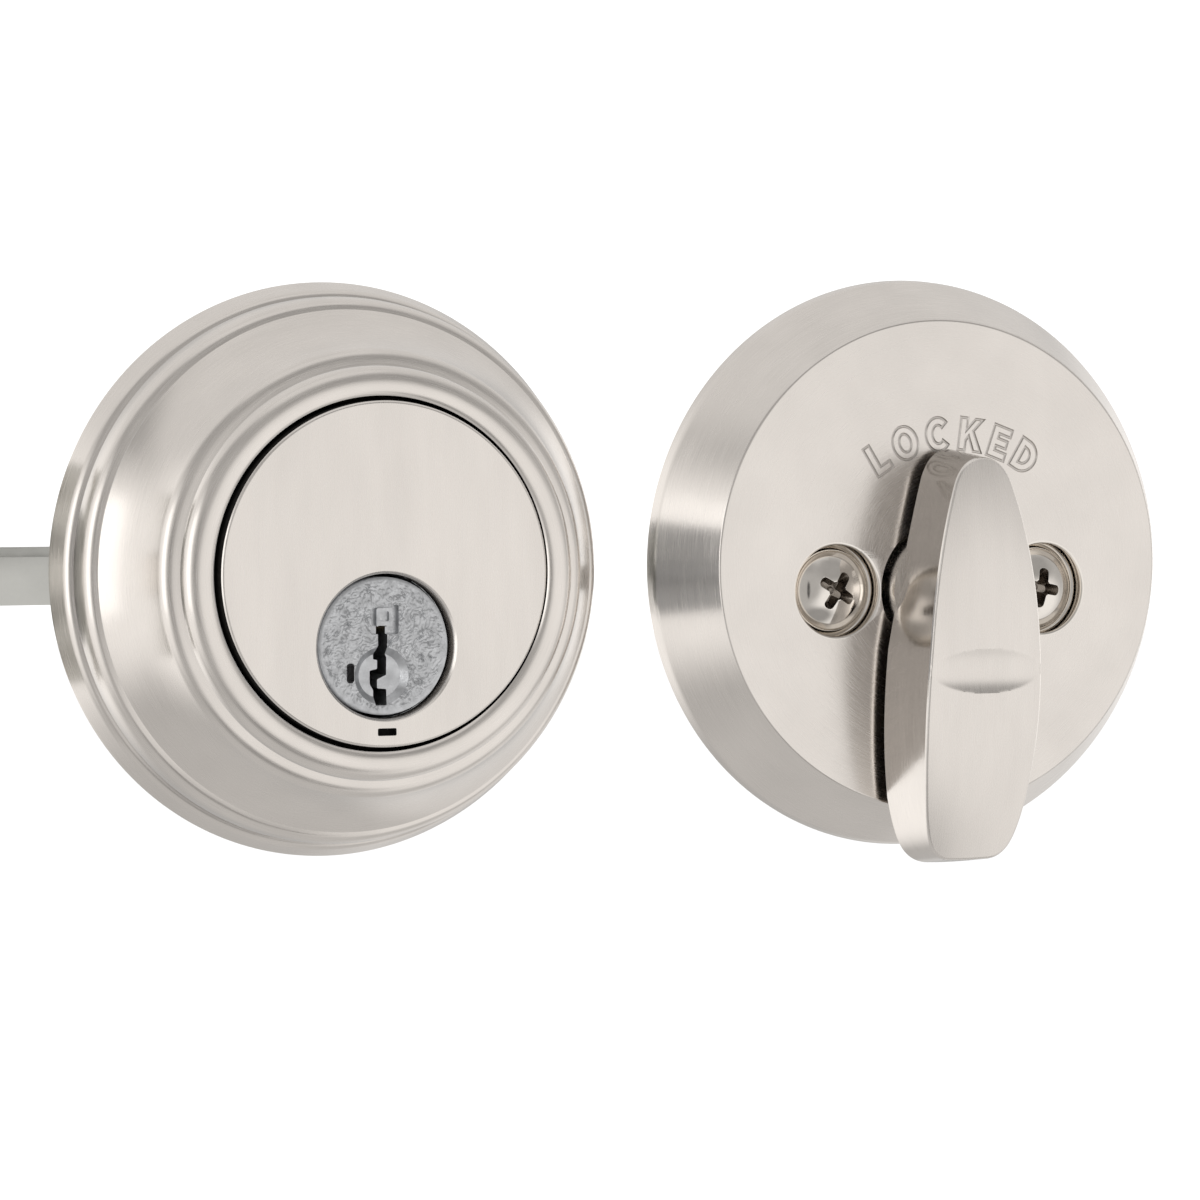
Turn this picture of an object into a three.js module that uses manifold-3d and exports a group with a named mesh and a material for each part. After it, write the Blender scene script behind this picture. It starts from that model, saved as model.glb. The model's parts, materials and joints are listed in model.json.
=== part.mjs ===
// Single-cylinder deadbolt: the outside half with its bolt, and the inside half beside it.
// Millimetres. X runs along the door, Y into the door and Z up. Both halves face -Y, with their
// backs in the plane y = 0. The origin is on the key's turning axis, in that plane.
// The lock is shown locked: the thumbturn stands upright and the bolt is thrown towards -X.

import * as THREE from 'three';
import { mergeVertices } from 'three/addons/utils/BufferGeometryUtils.js';
import Module from 'manifold-3d';

const wasm = await Module();
wasm.setup();

// ---- driving dimensions ------------------------------------------------------------------

const GAP = 0.3;             // clearance between neighbouring pieces
const ROUND = 40;            // sides of a large round
const SMALL_ROUND = 20;      // sides of a small round
const HOLE_ROUND = 12;       // sides of a rivet or a pin

const ROSE_RADIUS = 33.5;    // moulded ring on the outside of the door
const ROSE_CENTRE_Z = 8.15;  // the ring's centre stands above the key axis
const GUARD_RADIUS = 19.6;   // flat-faced cylinder guard inside the ring
const GUARD_FACE = 20.2;     // how far its face stands off the door
const GUARD_WALL = 1.6;
const PLUG_RADIUS = 7.8;
const PLUG_BORE = 8.25;
const PLUG_FACE = 19.2;      // the plug's face sits a little below the guard's

const PIN_COUNT = 5;
const PIN_PITCH = 3.81;
const FIRST_PIN_Y = -12.9;
const PIN_RADIUS = 1.35;
const CHAMBER_RADIUS = PIN_RADIUS + GAP;
const KEY_CUTS = [1.0, 2.2, 1.4, 2.8, 1.8];  // heights of the pins' tips above the key axis

// The warded keyway seen from outside: down its right side and back up its left.
const KEYWAY = [
  [-0.7, 2.3], [0.4, 2.3], [0.4, -0.9], [0.6, -1.3], [0.6, -3.3], [-0.5, -3.8], [-0.5, -4.8],
  [0.6, -4.9], [0.6, -5.7], [0.3, -6.7], [-1, -6.7], [-1, -5], [-1.4, -4.3], [-1.4, -2.8],
  [-0.5, -2.6], [-0.5, -1.6], [-1, -1.5], [-1, -0.9], [-0.7, 0.1],
];

const BLADE = [2.4, 6.2];    // section of the flat tailpiece
const BLADE_SLOT = [3.0, 6.8];
const POST_X = 14.1;         // the two mounting screws stand level with the axis, this far out

const BACKSET = 60;          // key axis to the door's edge
const THROW = 25.4;          // travel of the bolt
const BOLT_Y = 22;           // the bolt's centre line, halfway through a 44 mm door
const BOLT_Z = 6.8;          // and above the key axis
const BOLT_RADIUS = 10.5;
const BOLT_HALF = 7.5;       // half the thickness between its two flats
const BOLT_LENGTH = 38;
const TUBE_RADIUS = 12.25;   // fits a 25.4 mm hole in the door's edge
const CASE_HALF = 12.5;      // half the height of the bolt case
const CRANK_REACH = THROW / Math.SQRT2;  // a quarter turn of the crank moves its pin by the throw
const CRANK_PIN = 1.2;
const FORK_SLOT = 2.05;      // half the width of the slot that the crank pin works in

const PLATE_RADIUS = 34.9;   // round cover on the inside of the door
const PLATE_FLAT = 29.8;     // radius of its flat front, inside the bevel
const PLATE_FACE = 10;       // how far the flat front stands off the door
const PLATE_X = 76;          // the inside half stands this far from the outside half
const PLATE_Z = ROSE_CENTRE_Z;
const TURN_Z = PLATE_Z - 3;  // the thumbturn's axis, below the cover's centre
const TURN_FRONT = 22.1;     // how far the thumbturn stands off the door
const TURN_BACK = 11.3;      // how far the back of its handle stands off the door
const GRIP_RADIUS = 5.6;     // the groove for the thumb
const GRIP_DEPTH = 0.7;
const SCREW_END = 36.5;      // depth that the long mounting screws reach

// ---- finishes ----------------------------------------------------------------------------

const finish = (color, roughness, metalness) =>
  new THREE.MeshStandardMaterial({ color, roughness, metalness });
const SATIN_NICKEL = finish(0xc9c1b7, 0.34, 1);
const POLISHED_NICKEL = finish(0xd6cfc4, 0.1, 1);
const CAST_ZINC = finish(0x9b9da0, 0.5, 1);
const PLATED_STEEL = finish(0xb9bbb6, 0.4, 1);
const HARD_STEEL = finish(0x6e7073, 0.35, 1);
const BRASS = finish(0xc2a25a, 0.35, 1);
const NYLON = finish(0xe4e0d4, 0.6, 0);

// ---- geometry helpers --------------------------------------------------------------------

// A closed geometry as a solid: shared vertices merged, empty triangles dropped, faces outward.
function solid(geometry) {
  const bare = geometry.index ? geometry.toNonIndexed() : geometry.clone();
  bare.deleteAttribute('normal');
  bare.deleteAttribute('uv');
  const merged = mergeVertices(bare, 1e-4);
  const index = merged.index.array;
  const position = merged.attributes.position;
  const [a, b, c] = [new THREE.Vector3(), new THREE.Vector3(), new THREE.Vector3()];
  const triangles = [];
  let volume = 0;
  for (let i = 0; i < index.length; i += 3) {
    const [i0, i1, i2] = [index[i], index[i + 1], index[i + 2]];
    if (i0 === i1 || i1 === i2 || i2 === i0) continue;
    triangles.push(i0, i1, i2);
    a.fromBufferAttribute(position, i0);
    b.fromBufferAttribute(position, i1);
    c.fromBufferAttribute(position, i2);
    volume += a.dot(b.cross(c));
  }
  if (volume < 0) triangles.reverse();
  return new wasm.Manifold(new wasm.Mesh({
    numProp: 3,
    vertProperties: new Float32Array(position.array),
    triVerts: new Uint32Array(triangles),
  }));
}

const cut = (body, ...tools) => tools.reduce((rest, tool) => rest.subtract(tool), body);
const join = (body, ...others) => others.reduce((sum, other) => sum.add(other), body);

// An outline in X and Z, pushed along Y.
function prismY(outline, yLow, yHigh, sides = SMALL_ROUND) {
  const options = { depth: yHigh - yLow, bevelEnabled: false, curveSegments: sides / 2 };
  const geometry = new THREE.ExtrudeGeometry(outline, options);
  return solid(geometry.rotateX(Math.PI / 2).translate(0, yHigh, 0));
}

// An outline in Y and Z, pushed along X.
function prismX(outline, xLow, xHigh, sides = SMALL_ROUND) {
  const options = { depth: xHigh - xLow, bevelEnabled: false, curveSegments: sides / 2 };
  const geometry = new THREE.ExtrudeGeometry(outline, options);
  const turn = new THREE.Matrix4().makeBasis(
    new THREE.Vector3(0, 1, 0), new THREE.Vector3(0, 0, 1), new THREE.Vector3(1, 0, 0));
  return solid(geometry.applyMatrix4(turn).translate(xLow, 0, 0));
}

const lathe = (profile, sides) =>
  new THREE.LatheGeometry(profile.map(([r, t]) => new THREE.Vector2(r, t)), sides);

// Profiles of [radius, place along the axis], turned about an axis along Y, X or Z.
const turnedY = (profile, x = 0, z = 0, sides = SMALL_ROUND) =>
  solid(lathe(profile, sides).translate(x, 0, z));
const turnedX = (profile, y, z, sides = SMALL_ROUND) =>
  solid(lathe(profile, sides).rotateZ(-Math.PI / 2).translate(0, y, z));
const turnedZ = (profile, x, y, sides = HOLE_ROUND) =>
  solid(lathe(profile, sides).rotateX(Math.PI / 2).translate(x, y, 0));

const rod = (radius, low, high) => [[0, low], [radius, low], [radius, high], [0, high]];
const tube = (inner, outer, low, high) =>
  [[inner, low], [outer, low], [outer, high], [inner, high], [inner, low]];

function box(xLow, xHigh, yLow, yHigh, zLow, zHigh) {
  const geometry = new THREE.BoxGeometry(xHigh - xLow, yHigh - yLow, zHigh - zLow);
  return solid(geometry.translate((xLow + xHigh) / 2, (yLow + yHigh) / 2, (zLow + zHigh) / 2));
}

const polygon = (points) => new THREE.Shape(points.map(([u, v]) => new THREE.Vector2(u, v)));

function roundedRectangle(uMid, vMid, width, height, radius) {
  const [u0, u1] = [uMid - width / 2, uMid + width / 2];
  const [v0, v1] = [vMid - height / 2, vMid + height / 2];
  return new THREE.Shape()
    .moveTo(u0 + radius, v0).lineTo(u1 - radius, v0)
    .absarc(u1 - radius, v0 + radius, radius, -Math.PI / 2, 0)
    .lineTo(u1, v1 - radius).absarc(u1 - radius, v1 - radius, radius, 0, Math.PI / 2)
    .lineTo(u0 + radius, v1).absarc(u0 + radius, v1 - radius, radius, Math.PI / 2, Math.PI)
    .lineTo(u0, v0 + radius).absarc(u0 + radius, v0 + radius, radius, Math.PI, Math.PI * 1.5);
}

// A stand-off profile drawn as [radius, distance off the door] becomes one in Y.
const offDoor = (profile) => profile.map(([r, height]) => [r, -height]);

// The cross of a driver's recess in a screw head at (x, z), sunk from the height "top".
function crossY(x, z, top, depth, length, width, angle) {
  const bar = new THREE.BoxGeometry(length, depth + 1, width);
  const place = (geometry, turn) =>
    solid(geometry.rotateY(turn).translate(x, -top + (depth - 1) / 2, z));
  return join(place(bar.clone(), angle), place(bar.clone(), angle + Math.PI / 2));
}

const object = new THREE.Group();

function piece(name, body, material) {
  const { vertProperties, triVerts } = body.getMesh();
  const geometry = new THREE.BufferGeometry();
  geometry.setAttribute('position', new THREE.BufferAttribute(vertProperties, 3));
  geometry.setIndex(new THREE.BufferAttribute(triVerts, 1));
  geometry.computeVertexNormals();
  const mesh = new THREE.Mesh(geometry, material);
  mesh.name = name;
  object.add(mesh);
}

// ---- outside half ------------------------------------------------------------------------

// The moulded ring: a leaning rim, two beads, a hollow cone and a rounded collar, as one shell.
function rose() {
  const front = new THREE.Path()
    .moveTo(ROSE_RADIUS, 0).lineTo(32.6, 2.5)
    .quadraticCurveTo(32.3, 3.4, 31.75, 3.5)
    .lineTo(31.7, 4.0)
    .quadraticCurveTo(31.6, 7.0, 30.5, 7.6)
    .lineTo(30.1, 8.3)
    .quadraticCurveTo(27.2, 11.2, 25.6, 15.8)
    .quadraticCurveTo(25.2, 17.0, 23.5, 17.2)
    .quadraticCurveTo(23.3, 19.2, 21.7, 19.5)
    .lineTo(20.4, 19.4);
  const back = [
    [20.4, 15], [22.8, 15], [24.0, 14.2], [25.6, 11], [28.3, 7.6],
    [29.8, 5.4], [30.3, 2.8], [31.0, 0], [ROSE_RADIUS, 0],
  ];
  const profile = [...front.getPoints(4).map((point) => [point.x, point.y]), ...back];
  piece('rose', turnedY(offDoor(profile), 0, ROSE_CENTRE_Z, ROUND), SATIN_NICKEL);
}

// The ring that centres the rose in the door's 54 mm hole.
function roseSupportRing() {
  const inner = GUARD_RADIUS + 0.35;
  const profile = [
    [inner, -1.6], [29.2, -1.6], [29.2, -0.4], [26.4, -0.4],
    [26.4, 5.5], [23.6, 5.5], [23.6, -0.4], [inner, -0.4], [inner, -1.6],
  ];
  piece('rose_support_ring', turnedY(profile, 0, ROSE_CENTRE_Z, ROUND), PLATED_STEEL);
}

// A cup with a flat face, bored off-centre for the plug, with a small slot under the bore.
function cylinderGuard() {
  const inner = GUARD_RADIUS - GUARD_WALL;
  const profile = [
    [0, GUARD_FACE], [GUARD_RADIUS - 0.35, GUARD_FACE], [GUARD_RADIUS, GUARD_FACE - 0.35],
    [GUARD_RADIUS, 0.4], [inner, 0.4], [inner, 17.8], [0, 17.8],
  ];
  const cup = turnedY(offDoor(profile), 0, ROSE_CENTRE_Z, ROUND);
  const bore = turnedY(rod(PLUG_BORE, -21, -17), 0, 0, ROUND);
  const slot = box(-1.15, 1.15, -21, -19.4, -10.05, -9.25);
  piece('cylinder_guard', cut(cup, bore, slot), SATIN_NICKEL);
}

const pinY = (i) => FIRST_PIN_Y + PIN_PITCH * i;
const chamber = (i, zLow, zHigh) => turnedZ(rod(CHAMBER_RADIUS, zLow, zHigh), 0, pinY(i));
const eachPin = (make) => Array.from({ length: PIN_COUNT }, (_, i) => make(i));

// The fixed body of the lock cylinder, with the pin tower above it and two threaded posts.
function cylinderHousing() {
  const barrel = turnedY(rod(9.5, -17.5, 5), 0, 0, ROUND);
  const tower = box(-3.9, 3.9, -15.8, 5, 5, 21.2);
  const ears = prismY(roundedRectangle(0, 0, 37, 9.6, 4.75), 0, 3);
  const posts = [-POST_X, POST_X].map((x) => turnedY(rod(3.8, 2, 12), x, 0));
  const threads = [-POST_X, POST_X].map((x) => turnedY(rod(2, -1, 13), x, 0));
  const bore = turnedY(rod(PLUG_BORE, -18, 6), 0, 0, ROUND);
  const coverGroove = box(-2.5, 2.5, -17, 6, 19.7, 22);
  const chambers = eachPin((i) => chamber(i, 5, 20));
  const body = cut(join(barrel, tower, ears, ...posts), bore, coverGroove, ...chambers, ...threads);
  piece('cylinder_housing', body, CAST_ZINC);
  piece('spring_cover', box(-2.2, 2.2, -15.2, 4.6, 20, 20.9), BRASS);
}

// The plug that the key turns: keyway, dish round it, re-key slot beside it and pin chambers.
function keyPlug() {
  const body = turnedY([
    [0, -PLUG_FACE], [PLUG_RADIUS - 0.25, -PLUG_FACE], [PLUG_RADIUS, -PLUG_FACE + 0.25],
    [PLUG_RADIUS, 5.6], [5.2, 5.6], [5.2, 8.6], [0, 8.6],
  ], 0, 0, ROUND);
  const keyway = prismY(polygon(KEYWAY), -20, 4.5);
  const dish = turnedY([[0, -20], [3.2, -20], [2.9, -PLUG_FACE], [0.4, -18.2], [0, -18.2]], -0.3, -2.7);
  const rekeySlot = box(-4.4, -3.5, -20, -15.5, -4.1, -1.9);
  const dogSlot = box(-6, 6, 7.6, 9, -1, 1);
  const chambers = eachPin((i) => chamber(i, 0.5, 9));
  piece('key_plug', cut(body, keyway, dish, rekeySlot, dogSlot, ...chambers), CAST_ZINC);
}

// Behind the plug: the clip that keeps it in, and the cap that keeps the tailpiece on it.
function plugBack() {
  const clip = cut(turnedY(tube(5.5, 9.4, 5.9, 6.9)), box(-2.4, 2.4, 5, 8, -10, -4));
  piece('plug_clip', clip, HARD_STEEL);
  const cap = [[5.5, 7.3], [6.7, 7.3], [6.7, 11], [3.8, 11], [3.8, 10.2], [5.5, 10.2], [5.5, 7.3]];
  piece('tailpiece_cap', turnedY(cap), PLATED_STEEL);
  const [thick, wide] = BLADE;
  const blade = box(-thick / 2, thick / 2, 9.2, 47, -wide / 2, wide / 2);
  piece('tailpiece', join(turnedY(rod(4.8, 8.9, 9.9)), blade), PLATED_STEEL);
}

class Helix extends THREE.Curve {
  constructor(radius, zLow, zHigh, turns, y) {
    super();
    Object.assign(this, { radius, zLow, zHigh, turns, y });
  }

  getPoint(t, target = new THREE.Vector3()) {
    const angle = 2 * Math.PI * this.turns * t;
    const z = this.zLow + (this.zHigh - this.zLow) * t;
    return target.set(this.radius * Math.cos(angle), this.y + this.radius * Math.sin(angle), z);
  }
}

// One stack in each chamber: a pointed pin on the key, a driver above it and a spring.
function pinStack(i) {
  const top = 7.45;
  const tip = KEY_CUTS[i];
  const keyPin = [[0, tip], [0.5, tip], [PIN_RADIUS, tip + 0.9], [PIN_RADIUS, top], [0, top]];
  piece(`key_pin_${i + 1}`, turnedZ(keyPin, 0, pinY(i)), BRASS);
  piece(`driver_pin_${i + 1}`, turnedZ(rod(PIN_RADIUS, 8.6, 12.4), 0, pinY(i)), BRASS);
  const coil = new Helix(1.0, 13.1, 19.1, 4.5, pinY(i));
  const wire = new THREE.Shape().absarc(0, 0, 0.28, 0, 2 * Math.PI);
  const options = { steps: 36, curveSegments: 3, bevelEnabled: false, extrudePath: coil };
  piece(`pin_spring_${i + 1}`, solid(new THREE.ExtrudeGeometry(wire, options)), HARD_STEEL);
}

// ---- bolt --------------------------------------------------------------------------------

// A round bar along X with two flats; "spare" widens it to make the hole that it slides in.
function boltBar(xLow, xHigh, spare) {
  const round = turnedX(rod(BOLT_RADIUS + spare, xLow, xHigh), BOLT_Y, BOLT_Z, ROUND);
  const flat = BOLT_HALF + spare;
  return round.intersect(box(xLow - 1, xHigh + 1, BOLT_Y - flat, BOLT_Y + flat, -20, 40));
}

const FACE_SCREW_RISE = 21.5;
const faceScrewZ = [BOLT_Z + FACE_SCREW_RISE, BOLT_Z - FACE_SCREW_RISE];
const TAIL_PIN_X = -50.6;

// The plate in the door's edge, and behind it the flanged tube that the bolt slides in.
function boltHousing() {
  const face = prismX(roundedRectangle(BOLT_Y, BOLT_Z, 25.4, 57.15, 3.2), -BACKSET, -BACKSET + 2);
  const countersink = [[0, -61], [4.4, -61], [4.4, -60], [2.25, -57.9], [2.25, -57], [0, -57]];
  const sinks = faceScrewZ.map((z) => turnedX(countersink, BOLT_Y, z));
  piece('faceplate', cut(face, boltBar(-62, -56, 0.4), ...sinks), SATIN_NICKEL);

  const flange = prismX(roundedRectangle(BOLT_Y, BOLT_Z, 24.6, 56, 3), -57.7, -56.4);
  const barrel = turnedX(rod(TUBE_RADIUS, -57, -37.5), BOLT_Y, BOLT_Z, ROUND);
  const bore = turnedX(rod(11, -60, -36), BOLT_Y, BOLT_Z, ROUND);
  const holes = faceScrewZ.map((z) => turnedX(rod(2.4, -60, -54), BOLT_Y, z));
  piece('bolt_tube', cut(join(flange, barrel), bore, ...holes), PLATED_STEEL);
}

function faceScrew(name, z) {
  const profile = [[0, -60], [4.05, -60], [1.9, -57.9], [1.9, -44], [0, -40.5]];
  const cross = join(
    box(-61, -58.6, BOLT_Y - 2.2, BOLT_Y + 2.2, z - 0.45, z + 0.45),
    box(-61, -58.6, BOLT_Y - 0.45, BOLT_Y + 0.45, z - 2.2, z + 2.2));
  piece(name, cut(turnedX(profile, BOLT_Y, z), cross), POLISHED_NICKEL);
}

// The bolt, its free-turning hard pin that stops a saw, and the forked tail that pulls it.
function bolt() {
  const nose = -BACKSET - THROW;
  const back = nose + BOLT_LENGTH;
  const taper = turnedX([
    [0, nose], [BOLT_RADIUS - 1, nose], [BOLT_RADIUS + 0.5, nose + 1.5],
    [BOLT_RADIUS + 0.5, back + 1], [0, back + 1],
  ], BOLT_Y, BOLT_Z, ROUND);
  const tongueSlot = box(-54, back + 1, BOLT_Y - 1.8, BOLT_Y + 1.8, 2.6, 11);
  const pinBore = turnedX(rod(3.6, -81.6, -53.5), BOLT_Y, BOLT_Z);
  const rivetHole = turnedY(rod(1.8, 10, 34), TAIL_PIN_X, BOLT_Z);
  const bar = boltBar(nose, back, 0).intersect(taper);
  piece('bolt', cut(bar, tongueSlot, pinBore, rivetHole), SATIN_NICKEL);
  piece('saw_stop_pin', turnedX(rod(3.2, -81.3, -54.3), BOLT_Y, BOLT_Z), HARD_STEEL);

  const pinX = -THROW / 2;
  const [slotLeft, slotRight] = [pinX - FORK_SLOT, pinX + FORK_SLOT];
  const [forkLeft, forkRight] = [slotLeft - 2.6, slotRight + 2.6];
  const outline = polygon([
    [-53.4, 3], [-47, 3], [-44.5, 6.6], [forkRight, 6.6], [forkRight, 19], [slotRight, 19],
    [slotRight, 11.1], [slotLeft, 11.1], [slotLeft, 19], [forkLeft, 19], [forkLeft, 10.6], [-53.4, 10.6],
  ]);
  const tail = prismY(outline, BOLT_Y - 1.5, BOLT_Y + 1.5);
  piece('bolt_tail', cut(tail, turnedY(rod(1.8, 18, 26), TAIL_PIN_X, BOLT_Z)), PLATED_STEEL);
  piece('tail_rivet', turnedY(rod(1.5, 14.9, 29.1), TAIL_PIN_X, BOLT_Z), HARD_STEEL);
}

// A tapered arm from the hub to the crank pin, leaning an eighth of a turn towards the bolt.
function crankArm(yLow, yHigh) {
  const upright = new THREE.Shape()
    .moveTo(5, 0).absarc(0, CRANK_REACH, 1.35, 0, Math.PI).lineTo(-5, 0)
    .absarc(0, 0, 5, Math.PI, 2 * Math.PI);
  const options = { depth: yHigh - yLow, bevelEnabled: false, curveSegments: 10 };
  const geometry = new THREE.ExtrudeGeometry(upright, options).rotateZ(Math.PI / 4);
  return solid(geometry.rotateX(Math.PI / 2).translate(0, yHigh, 0));
}

// The cam that the tailpiece turns: two arms carry a pin that works in the tail's fork.
function driveHub() {
  const tip = CRANK_REACH / Math.SQRT2;
  const [slotThick, slotWide] = BLADE_SLOT;
  const body = join(
    turnedY(rod(5, 12.2, 31.8)),
    turnedY(rod(5.8, 14.5, 15.7)),
    turnedY(rod(5.8, 28.3, 29.5)),
    crankArm(15.9, 18.4),
    crankArm(25.6, 28.1),
    turnedY(rod(CRANK_PIN, 16.5, 27.5), -tip, tip, HOLE_ROUND));
  const slot = box(-slotThick / 2, slotThick / 2, 10, 34, -slotWide / 2, slotWide / 2);
  piece('drive_hub', cut(body, slot), PLATED_STEEL);
}

const RIVETS = [[19.6, 16.6], [-19.6, 16.6], [7.4, -3.2], [-7.4, -3.2]];

// Two side plates hold the hub; their straps reach into the tube and guide the bolt's flats.
function casePlate(name, yLow, yHigh) {
  const body = prismY(roundedRectangle(-0.15, BOLT_Z, 44.3, 2 * CASE_HALF, 3), yLow, yHigh);
  const strap = box(-52, -20, yLow, yHigh, BOLT_Z - 2.8, BOLT_Z + 2.8);
  const notches = [-POST_X, POST_X].map((x) =>
    join(turnedY(rod(4, 0, 40), x, 0), box(x - 4, x + 4, 0, 40, -20, 0)));
  const rivetHoles = RIVETS.map(([x, z]) => turnedY(rod(1.6, 0, 40), x, z, HOLE_ROUND));
  const hubHole = turnedY(rod(5.35, 0, 40));
  piece(name, cut(join(body, strap), ...notches, ...rivetHoles, hubHole), PLATED_STEEL);
}

function boltCase() {
  casePlate('case_plate_front', 13, 14.2);
  casePlate('case_plate_rear', 29.8, 31);
  const rivet = [
    [0, 11.9], [2.2, 11.9], [2.2, 12.7], [1.3, 12.7],
    [1.3, 31.3], [2.2, 31.3], [2.2, 32.1], [0, 32.1],
  ];
  RIVETS.forEach(([x, z], i) => {
    piece(`case_rivet_${i + 1}`, turnedY(rivet, x, z, HOLE_ROUND), HARD_STEEL);
  });
  const leaf = new THREE.Shape()
    .moveTo(-9, -4.9).quadraticCurveTo(0, -5.7, 9, -4.9)
    .lineTo(9, -5.3).quadraticCurveTo(0, -6.1, -9, -5.3);
  piece('hub_detent_leaf', prismY(leaf, 19.5, 24.5), HARD_STEEL);
}

// ---- inside half -------------------------------------------------------------------------

const screwX = [PLATE_X - POST_X, PLATE_X + POST_X];

// The round cover: a bevelled shell with a cupped seat for each screw and a hole for the turn.
function insideCover() {
  const shell = turnedY(offDoor([
    [0, PLATE_FACE], [PLATE_FLAT, PLATE_FACE], [34.6, 1.9], [PLATE_RADIUS, 0],
    [32.4, 0], [32.2, 1.8], [28.7, 8.2], [0, 8.2],
  ]), PLATE_X, PLATE_Z, ROUND);
  const cups = screwX.map((x) => turnedY(rod(6.9, -9, -5), x, TURN_Z));
  const seats = screwX.map((x) => turnedY([
    [0, -11], [5.5, -11], [5.5, -8], [2.8, -6.2], [2.8, -4], [0, -4],
  ], x, TURN_Z, 32));
  const turnHole = turnedY(rod(8, -11, -7), PLATE_X, TURN_Z, ROUND);
  piece('inside_cover', cut(join(shell, ...cups), turnHole, ...seats), SATIN_NICKEL);

  const backing = turnedY(rod(27, -1.7, -0.5), PLATE_X, PLATE_Z, ROUND);
  const shaftHole = turnedY(rod(5.5, -3, 1), PLATE_X, TURN_Z);
  const screwHoles = screwX.map((x) => turnedY(rod(2.9, -3, 1), x, TURN_Z));
  piece('backing_plate', cut(backing, shaftHole, ...screwHoles), PLATED_STEEL);
}

// A mounting screw with an oval head; its shank reaches through the door to the outside half.
function mountingScrew(name, x, angle) {
  const body = turnedY([
    [0, -10.2], [2.4, -9.95], [4.2, -9.3], [4.95, -8.6], [4.95, -8.2], [2.4, -6.4],
    [2.4, SCREW_END - 1.5], [1.4, SCREW_END], [0, SCREW_END],
  ], x, TURN_Z);
  piece(name, cut(body, crossY(x, TURN_Z, 10.2, 2.4, 5, 1.3, angle)), POLISHED_NICKEL);
}

// The handle's outline seen from the front: round and narrow on top, full below, square-ended.
function turnOutline() {
  return new THREE.Shape()
    .moveTo(-3.8, 13.3)
    .quadraticCurveTo(-6.3, 5, -7.8, -7)
    .quadraticCurveTo(-8.6, -16, -7.6, -24.5)
    .quadraticCurveTo(-6.9, -29.5, -5.6, -31.2)
    .quadraticCurveTo(-4.4, -32.8, -2.4, -32.8)
    .lineTo(2.4, -32.8)
    .quadraticCurveTo(4.4, -32.8, 5.6, -31.2)
    .quadraticCurveTo(6.9, -29.5, 7.6, -24.5)
    .quadraticCurveTo(8.6, -16, 7.8, -7)
    .quadraticCurveTo(6.3, 5, 3.8, 13.3)
    .quadraticCurveTo(2.6, 16.6, 0, 16.6)
    .quadraticCurveTo(-2.6, 16.6, -3.8, 13.3);
}

// The handle with its hub and hollow shaft: a bowed front with a groove for the thumb across it.
function thumbturn() {
  const slab = prismY(turnOutline(), -TURN_FRONT - 2, -TURN_BACK, 12).translate([PLATE_X, 0, TURN_Z]);
  const side = new THREE.Shape()
    .moveTo(-9, 18).lineTo(-TURN_FRONT + 1.6, 18)
    .quadraticCurveTo(-TURN_FRONT - 3.3, -6, -TURN_FRONT + 4.9, -34).lineTo(-9, -34);
  const bow = prismX(side, -10, 10, 20).translate([PLATE_X, 0, TURN_Z]);
  const grip = turnedX(rod(GRIP_RADIUS, -12, 12), -TURN_FRONT + GRIP_DEPTH - GRIP_RADIUS, -9.4, 32)
    .translate([PLATE_X, 0, TURN_Z]);
  const hub = turnedY(rod(7.6, -TURN_BACK - 1, -7.9), PLATE_X, TURN_Z, ROUND);
  const shaft = turnedY(rod(5, -9, 2.2), PLATE_X, TURN_Z);
  const [slotThick, slotWide] = BLADE_SLOT;
  const socket = box(PLATE_X - slotThick / 2, PLATE_X + slotThick / 2, -7, 4,
    TURN_Z - slotWide / 2, TURN_Z + slotWide / 2);
  const handle = cut(slab.intersect(bow), grip);
  piece('thumbturn', cut(join(handle, hub, shaft), socket), SATIN_NICKEL);
}

function turnBearing() {
  piece('turn_bushing', turnedY(tube(5.4, 6.8, -7.5, -2.7), PLATE_X, TURN_Z), NYLON);
  piece('turn_washer', turnedY(tube(5.4, 6.7, -2.4, -2.0), PLATE_X, TURN_Z), HARD_STEEL);
  const ring = turnedY(tube(5.3, 8.4, -0.2, 0.6), PLATE_X, TURN_Z);
  const opening = box(PLATE_X - 2.6, PLATE_X + 2.6, -1, 2, TURN_Z - 9, TURN_Z - 4);
  piece('turn_clip', cut(ring, opening), HARD_STEEL);
}

// ---- assembly ----------------------------------------------------------------------------

rose();
roseSupportRing();
cylinderGuard();
cylinderHousing();
keyPlug();
plugBack();
for (let i = 0; i < PIN_COUNT; i += 1) pinStack(i);

boltHousing();
faceScrew('face_screw_upper', faceScrewZ[0]);
faceScrew('face_screw_lower', faceScrewZ[1]);
bolt();
driveHub();
boltCase();

insideCover();
mountingScrew('mounting_screw_left', screwX[0], 0.56);
mountingScrew('mounting_screw_right', screwX[1], 0.17);
thumbturn();
turnBearing();

export default object;
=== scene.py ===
"""Single-cylinder deadbolt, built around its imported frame: fine shells, threads, engraving and finishes."""

import json
import math

import bmesh
import bpy
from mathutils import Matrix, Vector, noise

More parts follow.
